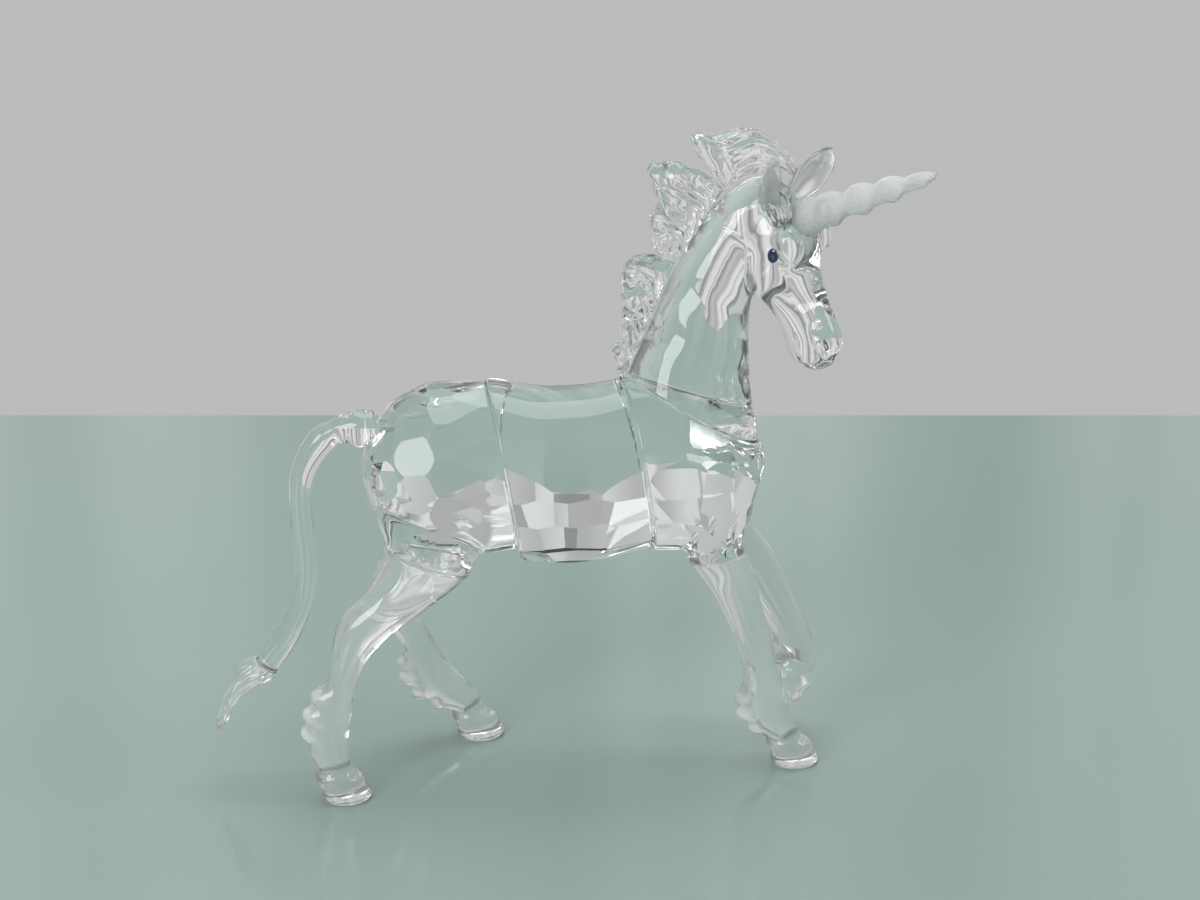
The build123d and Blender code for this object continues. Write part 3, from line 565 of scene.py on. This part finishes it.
# Materials: glasses are (colour, share let through, roughness, layers of the bump, its strength,
# share let through where frosted). Layers are (scale per metre, weight), and the eye's stops are
# (share of the way to the rim, colour).
glass_index, glass_grain, eye_grain, eye_roughness = 1.52, 260.0, 900.0, (0.05, 0.14)
bump_detail, grain_detail, grain_range = 2.0, 6.0, (0.35, 0.75)
clear = (0.985, 1.0, 0.995)
glasses = {
    "cut_crystal": ((0.935, 0.97, 0.965), 0.97, (0.0, 0.012), ((90, 1.0),), 0.02),
    "pressed_crystal": (clear, 0.96, (0.0, 0.02), ((160, 1.0), (420, 0.3)), 0.05, 0.55),
    "cast_crystal": (clear, 0.94, (0.0, 0.03), ((300, 1.0), (900, 0.4)), 0.12),
    "drawn_crystal": (clear, 0.975, (0.0, 0.012), ((120, 1.0),), 0.06),
    "frosted_crystal": ((0.97, 0.99, 0.985), 0.62, (0.36, 0.52), ((1400, 1.0), (420, 0.6)), 0.35),
}
eye_stops = (
    (0.16, (0.04, 0.042, 0.042)), (0.34, (0.008, 0.009, 0.011)), (0.56, (0.01, 0.016, 0.1)),
    (0.72, (0.012, 0.035, 0.4)), (0.82, (0.012, 0.035, 0.4)), (0.92, (0.42, 0.43, 0.43)),
)


def new_material(name):
    material = bpy.data.materials.new(name)
    material.use_nodes = True
    tree = material.node_tree
    return material, tree, next(node for node in tree.nodes if node.type == "BSDF_PRINCIPLED")


def settings(node, values):
    for name, value in values.items():
        node.inputs[name].default_value = value


def noise_bump(tree, shader, layers, strength):
    """Bump from layers of noise."""
    nodes, links = tree.nodes, tree.links
    place = nodes.new("ShaderNodeTexCoord")
    total = None
    for scale, weight in layers:
        texture = nodes.new("ShaderNodeTexNoise")
        settings(texture, {"Scale": scale, "Detail": bump_detail})
        links.new(place.outputs["Object"], texture.inputs["Vector"])
        gain = nodes.new("ShaderNodeMath")
        gain.operation = "MULTIPLY_ADD"
        gain.inputs[1].default_value = weight
        gain.inputs[2].default_value = 0.0
        links.new(texture.outputs["Fac"], gain.inputs[0])
        if total is not None:
            links.new(total, gain.inputs[2])
        total = gain.outputs[0]
    bump = nodes.new("ShaderNodeBump")
    settings(bump, {"Strength": strength, "Distance": MM})
    links.new(total, bump.inputs["Height"])
    links.new(bump.outputs["Normal"], shader.inputs["Normal"])


def uneven_roughness(tree, shader, scale, span):
    """Roughness that wanders over the span."""
    place = tree.nodes.new("ShaderNodeTexCoord")
    texture = tree.nodes.new("ShaderNodeTexNoise")
    settings(texture, {"Scale": scale, "Detail": grain_detail})
    ramp = tree.nodes.new("ShaderNodeMapRange")
    settings(ramp, {"From Min": grain_range[0], "From Max": grain_range[1],
                    "To Min": span[0], "To Max": span[1]})
    tree.links.new(place.outputs["Object"], texture.inputs["Vector"])
    tree.links.new(texture.outputs["Fac"], ramp.inputs["Value"])
    tree.links.new(ramp.outputs["Result"], shader.inputs["Roughness"])


def color_ramp(tree, stops, value):
    """Colour that follows the value through the stops."""
    node = tree.nodes.new("ShaderNodeValToRGB")
    for position, _ in stops[1:-1]:
        node.color_ramp.elements.new(position)
    for element, (position, color) in zip(node.color_ramp.elements, stops):
        element.position, element.color = position, (*color, 1)
    tree.links.new(value, node.inputs["Fac"])
    return node.outputs["Color"]


def glass(name, color, through, roughness, layers, strength, through_frost=None):
    """Glass. What isn't let through is scattered, as at fine marks in the surface."""
    material, tree, shader = new_material(name)
    settings(shader, {"Base Color": (*color, 1), "Transmission Weight": through,
                      "IOR": glass_index})
    uneven_roughness(tree, shader, glass_grain, roughness)
    noise_bump(tree, shader, layers, strength)
    if through_frost is not None:
        frost = tree.nodes.new("ShaderNodeAttribute")
        frost.attribute_name = "frost"
        clearness = tree.nodes.new("ShaderNodeMapRange")
        settings(clearness, {"To Min": through, "To Max": through_frost})
        tree.links.new(frost.outputs["Fac"], clearness.inputs["Value"])
        tree.links.new(clearness.outputs["Result"], shader.inputs["Transmission Weight"])
    return material


def glued_face():
    """Lets light pass unbent, as clear glue of the glass's own index does."""
    material, _, shader = new_material("glued_face")
    settings(shader, {"Base Color": (1, 1, 1, 1), "Transmission Weight": 1.0, "IOR": 1.0,
                      "Roughness": 0.0, "Alpha": 0.0})
    return material


def eye_stone():
    """Blue stone with a dark centre and a pale rim."""
    material, tree, shader = new_material("eye_stone")
    rim = tree.nodes.new("ShaderNodeAttribute")
    rim.attribute_name = "rim"
    tree.links.new(color_ramp(tree, eye_stops, rim.outputs["Fac"]), shader.inputs["Base Color"])
    settings(shader, {"Coat Weight": 1.0, "Coat Roughness": 0.02})
    uneven_roughness(tree, shader, eye_grain, eye_roughness)
    return material


looks = {name: glass(name, *values) for name, values in glasses.items()}
glue = glued_face()
looks["eye_stone"] = eye_stone()


# Trunk

def leg_middle(leg, advance, rise):
    """Middle of the leg, in shares of its height from the coronet to the seam."""
    seam = np.array(leg["seam"], float)
    height = seam[2] - hoof_height
    aside = leg["side"] * leg["splay"] * (1 - rise)
    return seam + np.array([advance * height, aside, (rise - 1) * height])


def leg_section(leg, middle, depth, width, tilt):
    half_depth, half_width = leg["halves"]
    return section(middle, heading(tilt), Y, half_depth * depth, half_width * width)


def leg_seam_normal(leg):
    """Down into the leg."""
    return heading(leg["rows"][0][4] - 90)


def stub_rows(leg):
    """Sections from inside the trunk down past the seam."""
    drop = trunk_z - leg["seam"][2]
    rows = []
    for advance, inward, rise, *shape in reversed(leg["stub"]):
        middle = np.array(leg["seam"]) + np.array([advance, -leg["side"] * inward, rise]) * drop
        rows.append(leg_section(leg, middle, *shape))
    for advance, rise, *shape in leg["rows"]:
        rows.append(leg_section(leg, leg_middle(leg, advance, rise), *shape))
    return rows


def egg(middle, half_behind, half_before, half_width, half_height):
    """Rounded trunk block, drawn out along x."""
    rows = []
    for swing in np.linspace(-80, 80, 17):
        along = sin(radians(swing))
        half_length = (half_before if along > 0 else half_behind) + egg_grow
        size = cos(radians(swing))
        rows.append(section(middle + X * along * half_length, Z, Y,
                            (half_height + egg_grow) * size, (half_width + egg_grow) * size))
    return domed(np.array(rows), 0.2, 0.2)


def trunk_end(middle, halves, leg_names, columns, tile, lowest):
    """Smooth blank of a trunk block with its leg stubs, ground on the flanks."""
    skins = [skin(ring_grid(egg(middle, *halves), 96))]
    for name in leg_names:
        rows = stub_rows(legs[name])[:len(legs[name]["stub"]) + 3]
        skins.append(skin(ring_grid(flowing(rows, 60), 64)))
    bm = melted(skins, *trunk_melt)
    ground(bm, flank_spots(middle, halves, columns, tile), lowest)
    for name in leg_names:
        seamed(bm, legs[name]["seam"], leg_seam_normal(legs[name]), leg_rim, legs[name]["side"])
    return bm


def hindquarters():
    middle = np.array([rump_x + rump_halves[0], 0, trunk_z])
    bm = trunk_end(middle, rump_halves, ("hind_leg_right", "hind_leg_left"), rump_columns,
                   rump_tile, rump_lowest_flat)
    seamed(bm, (rear_seam, 0, trunk_z), heading(seam_lean))
    return bm


def chest():
    middle = np.array([breast_x - breast_halves[1], 0, trunk_z])
    bm = trunk_end(middle, breast_halves, ("fore_leg_right", "fore_leg_left"), breast_columns,
                   breast_tile, breast_lowest_flat)
    seamed(bm, (front_seam, 0, trunk_z), -heading(seam_lean))
    seamed(bm, neck_foot, heading(90 - neck_seam_slope), neck_rim)
    return bm


def barrel():
    middle = np.array([(rear_seam + front_seam) / 2, 0, trunk_z - barrel_sag])
    length = front_seam - rear_seam
    rows = []
    for along, top, bottom, width in barrel_rows:
        rows.append(section(middle + X * ((along - 0.5) * length), Z, Y,
                            barrel_half_height * top, barrel_half_width * width,
                            barrel_half_height * bottom))
    bm = smooth_blank(ring_grid(flowing(rows, 90), 120, barrel_power))
    halves = np.array([length * barrel_bulge, barrel_half_width, barrel_half_height])
    for tilt, count in barrel_flats:
        for step in range(count):
            along = ((step + 0.5) / count - 0.5) * length / halves[0]
            up = -sin(radians(tilt))
            for side in (-1, 1):
                spot = np.array([along, side * sqrt(max(0, 1 - along * along - up * up)), up])
                cut_off(bm, middle + spot * halves, unit(spot / halves), slice_margin)
    seamed(bm, (rear_seam, 0, trunk_z), -heading(seam_lean))
    seamed(bm, (front_seam, 0, trunk_z), heading(seam_lean))
    return bm


# Neck and head

def head_place(down, out, left):
    return poll + head_down * down + head_out * out + head_left * left


def head_spot(shares, side):
    """Place on one side of the head, in shares of its length, half depth and half width."""
    down, out, aside = shares
    return head_place(down * head_length, out * head_half_depth, side * aside * head_half_width)


def head_aim(down, out, left):
    return unit(head_down * down + head_out * out + head_left * left)


def ball(place, radius, stretch):
    """Stretched ball on the head."""
    rows = []
    for swing in np.linspace(-84, 84, 15):
        size = cos(radians(swing)) * radius
        along = head_down * (sin(radians(swing)) * radius * stretch[0])
        rows.append(section(head_place(*place) + along, head_out, head_left, size * stretch[1],
                            size * stretch[2]))
    return skin(ring_grid(np.array(rows), 32))


def neck_and_head():
    rows = []
    for rise, advance, depth, width, tilt, aside in neck_rows:
        middle = neck_foot + np.array([advance, -aside, rise]) * neck_height
        rows.append(section(middle, heading(tilt), Y, neck_halves[0] * depth,
                            neck_halves[1] * width))
    skins = [skin(ring_grid(flowing(rows, 90), 72))]
    rows = []
    for along, face, jaw, width in head_rows:
        middle = head_place(along * head_length, (face + jaw) / 2 * head_half_depth, 0)
        rows.append(section(middle, head_out, head_left, head_half_depth * (face - jaw) / 2,
                            head_half_width * width))
    skins.append(skin(ring_grid(capped(flowing(rows, 90), 1.2), 72, head_power)))
    for side in (-1, 1):
        for (down, out, aside), radius, stretch in head_swellings:
            skins.append(ball((down, out, side * aside), radius, stretch))
    skins.append(ball(*chin))
    bm = melted(skins, *head_melt)
    sculpt(bm)
    backward = Vector(-heading(crest_tilt))
    facing = [(vert.normal @ backward - crest_facing) / crest_fade for vert in bm.verts]
    frosted(bm, [crest_frost * min(1, max(0, share)) for share in facing])
    seamed(bm, neck_foot, -heading(90 - neck_seam_slope), neck_rim)
    return bm


def sculpt(bm):
    """Presses the dents, the mouth line and the neck's ovals into the smooth head and neck."""
    bm.normal_update()
    points = np.array([vert.co for vert in bm.verts])
    normals = np.array([vert.normal for vert in bm.verts])
    local = points - poll
    down, out, side = local @ head_down, local @ head_out, abs(local @ head_left)
    places = np.stack([down, out, side], axis=1)
    move = np.zeros(len(points))
    for place, spread, height in head_dents:
        move += height * np.exp(-(((places - place) / spread) ** 2).sum(axis=1))
    mouth = np.exp(-((out + 0.9 + 0.1 * (down - 24)) / mouth_half_width) ** 2)
    move -= mouth_depth * mouth * np.clip((down - 22.0) / 1.5, 0, 1) * (down < 32)
    for at_x, at_z, depth in neck_ovals:
        far = ((points[:, 0] - at_x) / oval_half_length) ** 2
        far += ((points[:, 2] - at_z) / oval_half_height) ** 2
        move -= depth * np.exp(-far ** 1.5)
    for vert, amount, normal in zip(bm.verts, move, normals):
        if abs(amount) > 1e-4:
            vert.co += Vector(normal * amount)
    bm.normal_update()


def eye(name, side, tree):
    """Oval stone with a domed front, sunk in the cheek that the tree holds."""
    out = head_left * side
    found, normal, _, _ = tree.ray_cast(Vector(head_spot(eye_root, side) + out * eye_ray),
                                        Vector(-out))
    place, out = np.array(found), unit(np.array(normal) + out)
    lean = head_down * 0.85 - head_out * 0.5
    tall = unit(lean - out * np.dot(lean, out))
    wide = np.cross(out, tall)
    rows = []
    for depth, size in eye_rows:
        rows.append(section(place + out * depth, tall, wide, eye_long * size, eye_wide * size))
    thing = piece(name, smooth_blank(ring_grid(np.array(rows), 40)), "eye_stone")
    values = []
    for vert in thing.data.vertices:
        at = np.array(vert.co) / MM - TO_FRAME - place
        far = sqrt((at @ tall / eye_long) ** 2 + (at @ wide / eye_wide) ** 2)
        values.append(1.0 if at @ out < -0.1 else 0.8 * far)
    rim = thing.data.attributes.new("rim", "FLOAT", "POINT")
    rim.data.foreach_set("value", values)


def horn():
    rise = radians(horn_rise)
    aim = np.array([cos(rise) * cos(turn), -cos(rise) * sin(turn), sin(rise)])
    upright = np.cross(aim, head_left)
    foot = head_place(*horn_foot)
    rows = []
    for along, radius in horn_rows:
        half = horn_radius * radius
        rows.append(section(foot + aim * (along * horn_length), upright, head_left, half, half))
    rows = flowing(rows, 150)
    along = np.pad((rows[:, :3] - foot) @ aim / horn_length, dome_steps, mode="edge")[:, None]
    rows = domed(rows, 0.4, 0.5)
    grid = ring_grid(rows, 72)
    spiral = circle(72)[None, :] - 2 * pi * horn_turns * along
    ridge = np.cos(2 * spiral) + horn_between * np.cos(4 * spiral)
    strength = np.clip((along - 0.05) / 0.12, 0, 1) * np.clip((1.0 - along) / 0.2, 0, 1)
    grid += outward(grid) * (rows[:, 9:10] * horn_ridge * ridge * strength)[..., None]
    return smooth_blank(grid)


def ear(side):
    """Cupped leaf with curled rims."""
    root = head_spot(ear_root, side)
    aim = head_aim(ear_aim[0], ear_aim[1], side * ear_aim[2])
    flat = unit(np.cross(aim, head_out))
    front = np.cross(flat, aim)
    rows = []
    for along, width, thickness in ear_rows:
        rows.append(section(root + aim * (along * ear_length), flat, front,
                            ear_half_width * width, ear_half_thickness * thickness))
    rows = domed(flowing(rows, 60), 0.3, 0.4)
    grid = ring_grid(rows, 64)
    local = grid - rows[:, None, :3]
    wide = (local @ flat) / rows[:, 9:10]
    facing = np.sign(front @ head_out)
    depth = np.where(local @ front * facing > 0, ear_hollow, ear_back)
    cup = depth * np.clip(1 - wide ** 2 * 1.25, 0, 1)
    grid += (front * facing) * ((ear_curl * wide ** 2 - cup) * rows[:, 11:12])[..., None]
    bm = smooth_blank(grid)
    frosted(bm, [ear_frost] * len(bm.verts))
    return bm


# Hair

def hair(rows, count, around, relief, tip, start, power=2.0):
    """Clump of hair. The relief is its height over (share of the length, way round)."""
    rows = domed(flowing(rows, count), tip, start)
    grid = ring_grid(rows, around, power)
    u = np.clip((np.arange(len(rows)) - dome_steps) / (count - 1), 0, 1)[:, None]
    return smooth_blank(grid + outward(grid) * relief(u, circle(around)[None, :])[..., None])


def mane(shares, count, around, relief):
    """Clump that stands on the neck's crest."""
    rows = []
    for root_x, root_z, tip_x, tip_z, width in shares:
        root = neck_foot + np.array([root_x, 0, root_z]) * neck_height
        tip = neck_foot + np.array([tip_x, 0, tip_z]) * neck_height
        aim = unit(tip - root)
        root = root + aim * mane_lift
        half = np.linalg.norm(tip - root) / 2
        rows.append(section(root + aim * half, aim, Y, half, mane_half_thickness * width))
    return hair(rows, count, around, relief, mane_dome, mane_dome, mane_power)


def crest_relief(u, swing):
    """Locks along the clump, with a roll and a groove at its lower end."""
    reach = (np.cos(swing) + 1) / 2
    phase = 4.2 * reach ** 1.2 + 0.4 * np.sin(2 * pi * (0.9 * u + 0.1)) + 0.8 * u
    locks = np.cos(2 * pi * phase)
    roll = np.exp(-((u - 0.05) / 0.06) ** 2)
    groove = np.exp(-((u - 0.16) / 0.035) ** 2)
    return (0.12 * locks * (1 - roll) + 0.55 * roll - 0.22 * groove) * np.clip(reach * 4, 0, 1)


def curl_relief(turns, seed, calm):
    """Locks across the clump, quieter toward its top end."""
    def relief(u, swing):
        reach = (np.cos(swing) + 1) / 2
        warp = 0.3 * np.sin(2 * pi * (1.1 * reach + 0.8 * u + seed))
        warp += 0.16 * np.sin(2 * pi * (1.9 * u - reach))
        phase = turns * u - 0.8 * reach + warp
        locks = np.sqrt(np.cos(pi * phase) ** 2 + 0.05) * 2 - 1.15
        across = np.sin(2 * pi * (1.5 * reach + 0.35 * np.sin(pi * turns * u + 6 * seed)))
        fade = 1 - 0.6 * np.clip((u - calm) / 0.12, 0, 1)
        return (0.42 * locks + 0.14 * across) * np.clip(reach * 3, 0, 1) * fade
    return relief


def forelock():
    start = head_place(*(share * head_length for share in forelock_root))
    aim = head_aim(*forelock_aim)
    flat = unit(np.cross(aim, head_out))
    up = np.cross(flat, aim)
    rows = []
    for along, width, height in forelock_rows:
        rows.append(section(start + aim * (along * forelock_length), flat, up,
                            forelock_half_width * width, forelock_half_width * height))

    def relief(u, swing):
        return 0.22 * np.cos(3 * swing + 5 * u) + 0.1 * np.cos(9 * swing - 7 * u)
    return hair(rows, 60, 64, relief, 0.4, 0.5)


def tail_points():
    root = np.array([rump_x, 0, trunk_z + tail_root_rise])
    return [root - np.array([reach * tail_reach, 0, drop * tail_drop])
            for reach, drop, _ in tail_rows]


def tail():
    points = tail_points()
    rows = []
    for i, point in enumerate(points):
        aim = unit(points[min(i + 1, len(points) - 1)] - points[max(i - 1, 0)])
        radius = tail_radius * tail_rows[i][2]
        rows.append(section(point, Y, np.cross(aim, Y), radius, radius))
    rows = domed(flowing(rows, 160), 0.8, 0.6)
    along = np.arange(len(rows)) / len(rows)
    for height, at, spread in tail_lips:
        rows[:, 9:] += (height * np.exp(-((along - at) / spread) ** 2))[:, None]
    return smooth_blank(ring_grid(rows, 56))


def tail_tuft():
    points = tail_points()
    start, aim = points[-1], unit(points[-1] - points[-2])
    out = np.cross(Y, aim)
    rows = []
    for along, bow_out, depth, width in tuft_rows:
        middle = start + aim * (along * tuft_length) + out * (bow_out * tuft_half_width)
        rows.append(section(middle, out, Y, tuft_half_width * depth, tuft_half_width * width))

    def relief(u, swing):
        fade = np.clip(u * 6, 0, 1) * (1 - 0.6 * u)
        return fade * (0.24 * np.cos(4 * swing + 4 * u) + 0.12 * np.cos(11 * swing - 5 * u))
    return hair(rows, 90, 88, relief, 0.3, 0.3)


# Legs

def leg(name):
    """Leg with its hoof, the groove over the hoof, and the feather's frosted lumps."""
    data = legs[name]
    raised = name == "fore_leg_left"
    last_advance, last_rise = data["rows"][-1][:2]
    coronet = leg_middle(data, last_advance, last_rise if raised else 0)
    half_length, half_width = hoof_halves
    if raised:
        toe, up = heading(-hoof_flex), heading(90 - hoof_flex)
        sole = coronet - up * hoof_height + toe * (hoof_toe * half_length)
    else:
        toe, up = X, Z
        sole = np.array([coronet[0] + hoof_toe * half_length, coronet[1], sole_lift])
    hoof = []
    for rise, length, width, slide in hoof_rows:
        middle = sole + up * (rise * hoof_height) + toe * (slide * half_length)
        hoof.append(section(middle, toe, Y, half_length * length, half_width * width))
    groove = hoof[0].copy()
    groove[:3] += up * groove_rise
    groove[9:] *= groove_share
    rows = flowing(stub_rows(data)[len(data["stub"]) - 1:-1] + [groove], 150)
    grid = ring_grid(np.concatenate([rows[:-1], flowing(hoof, 40)]), 72)
    normal = outward(grid)
    swelling = np.zeros(grid.shape[:2])
    advances, rises, depths, _, tilts = np.array(sorted(data["rows"], key=lambda row: row[1])).T
    for rise, size in data["knobs"]:
        back = heading(np.interp(rise, rises, tilts)) * np.interp(rise, rises, depths)
        place = leg_middle(data, np.interp(rise, rises, advances), rise) - back * data["halves"][0]
        away = (grid - place) ** 2
        lump = np.exp(-(away / lump_spread).sum(axis=2))
        base = base_share * np.exp(-(away / base_spread).sum(axis=2))
        grid = grid + normal * (size * (lump + base))[..., None]
        swelling += size * lump
    bm = smooth_blank(grid)
    frosted(bm, [min(1, leg_frost + leg_frost_gain * value) for value in swelling.ravel()]
            + [leg_frost] * 2)
    seamed(bm, np.array(data["seam"]) + leg_seam_normal(data) * glue_gap, -leg_seam_normal(data),
           leg_rim)
    return bm


# The pieces

piece("hindquarters", hindquarters(), "cut_crystal", True)
piece("barrel", barrel(), "cut_crystal", True)
piece("chest", chest(), "cut_crystal", True)
body = neck_and_head()
head_tree = BVHTree.FromBMesh(body)
piece("neck_and_head", body, "pressed_crystal", True)
eye("eye_right", -1, head_tree)
eye("eye_left", 1, head_tree)
piece("horn", horn(), "frosted_crystal")
piece("ear_right", ear(-1), "pressed_crystal")
piece("ear_left", ear(1), "pressed_crystal")
piece("mane_crest", mane(mane_crest_rows, 150, 150, crest_relief), "cast_crystal")
piece("mane_middle", mane(mane_middle_rows, 150, 150, curl_relief(6, 0.1, 0.72)), "cast_crystal")
piece("mane_lower", mane(mane_lower_rows, 170, 130, curl_relief(6, 0.6, 0.76)), "cast_crystal")
piece("forelock", forelock(), "cast_crystal")
piece("tail", tail(), "drawn_crystal")
piece("tail_tuft", tail_tuft(), "cast_crystal")
for name in legs:
    piece(name, leg(name), "pressed_crystal", True)


# Stage, in metres: lamps are (name, place, width, height, watts)

table_color, table_index = (0.285, 0.38, 0.352), 1.45
table_grain, table_roughness = 12.0, (0.09, 0.14)
table_turn, table_half_width, table_depth = 7, 1.6, 2.2
table_far_edge = np.array([0.0332, 0.2051, 0])
fold_count, fold_shift, fold_detail = 9.0, 2.6, 2.0
drape_slope, drape_middle = 1.6, 0.35
drape_stops = ((0.36, (0.27, 0.265, 0.26)), (0.46, (0.47, 0.46, 0.455)), (0.6, (0.78, 0.77, 0.765)))
room_stops = ((0.0, (0.33, 0.34, 0.34)), (0.45, (0.43, 0.44, 0.44)), (1.0, (0.64, 0.65, 0.65)))
backdrop = (0.5, 0.5, 0.49)
lamp_target = (0.008, 0.003, 0.056)
lamps = (
    ("front_left", (-0.6, -0.6, 0.42), 0.35, 0.45, 3.0),
    ("overhead", (0.1, 0.25, 0.95), 0.9, 0.6, 4.0),
    ("front_high", (-0.34, -0.8, 0.66), 0.2, 0.26, 0.8),
    ("right", (0.8, -0.12, 0.55), 0.25, 0.36, 0.9),
)
camera_target, camera_distance = Vector((0.00825, 0.00303, 0.0561)), 0.32
camera_rise, camera_swing, camera_lens, camera_sensor = 18, -7, 57.6, 36.0

table, tree, shader = new_material("table_top")
settings(shader, {"Base Color": (*table_color, 1), "IOR": table_index})
uneven_roughness(tree, shader, table_grain, table_roughness)
forward = np.array([sin(radians(table_turn)), cos(radians(table_turn)), 0])
right = np.array([forward[1], -forward[0], 0]) * table_half_width
near_edge = table_far_edge - forward * table_depth
corners = [table_far_edge + right, table_far_edge - right, near_edge - right, near_edge + right]
mesh = bpy.data.meshes.new("table_top")
mesh.from_pydata([tuple(corner) for corner in corners], [], [(0, 1, 2, 3)])
mesh.materials.append(table)
floor = new_object("table_top", mesh)

world = bpy.data.worlds.new("studio")
bpy.context.scene.world = world
world.use_nodes = True
nodes, links = world.node_tree.nodes, world.node_tree.links
background = next(node for node in nodes if node.type == "BACKGROUND")


def math_node(kind, first, second=None, third=None):
    node = nodes.new("ShaderNodeMath")
    node.operation = kind
    for socket, value in zip(node.inputs, (first, second, third)):
        if isinstance(value, (int, float)):
            socket.default_value = value
        elif value is not None:
            links.new(value, socket)
    return node.outputs[0]


def mix_node(share, first, second):
    node = nodes.new("ShaderNodeMix")
    node.data_type = "RGBA"
    for number, value in ((0, share), (6, first), (7, second)):
        if isinstance(value, tuple):
            node.inputs[number].default_value = (*value, 1)
        else:
            links.new(value, node.inputs[number])
    return node.outputs[2]


# The camera sees a plain backdrop. The glass also meets the soft folds of a studio drape behind
# the table and the dimmer room in front of it.
direction = nodes.new("ShaderNodeSeparateXYZ")
links.new(nodes.new("ShaderNodeTexCoord").outputs["Generated"], direction.inputs[0])
bearing = math_node("ARCTAN2", direction.outputs[0], direction.outputs[1])
folds = nodes.new("ShaderNodeTexNoise")
folds.noise_dimensions = "1D"
settings(folds, {"Detail": fold_detail, "Scale": 1.0})
links.new(math_node("MULTIPLY_ADD", bearing, fold_count, fold_shift), folds.inputs["W"])
drape = color_ramp(world.node_tree, drape_stops, folds.outputs["Fac"])
room = color_ramp(world.node_tree, room_stops, direction.outputs[2])
behind = math_node("MULTIPLY_ADD", direction.outputs[1], drape_slope, drape_middle)
behind = math_node("MINIMUM", math_node("MAXIMUM", behind, 0.0), 1.0)
studio = mix_node(behind, room, drape)
ray = nodes.new("ShaderNodeLightPath")
links.new(mix_node(ray.outputs["Is Camera Ray"], studio, backdrop), background.inputs["Color"])
background.inputs["Strength"].default_value = 1.0

for name, place, width, height, watts in lamps:
    data = bpy.data.lights.new(name, "AREA")
    data.shape, data.size, data.size_y, data.energy = "RECTANGLE", width, height, watts
    lamp = new_object(name, data)
    lamp.location = place
    lamp.rotation_euler = (Vector(lamp_target) - Vector(place)).to_track_quat("-Z", "Y").to_euler()

camera = bpy.data.cameras.new("camera")
camera.lens, camera.sensor_width, camera.clip_start = camera_lens, camera_sensor, 0.01
view = new_object("camera", camera)
rise, swing = radians(camera_rise), radians(camera_swing)
back = Vector((sin(swing) * cos(rise), -cos(swing) * cos(rise), sin(rise)))
view.location = camera_target + back * camera_distance
view.rotation_euler = (-back).to_track_quat("-Z", "Y").to_euler()
bpy.context.scene.camera = view
bpy.context.scene.view_settings.view_transform = "Standard"
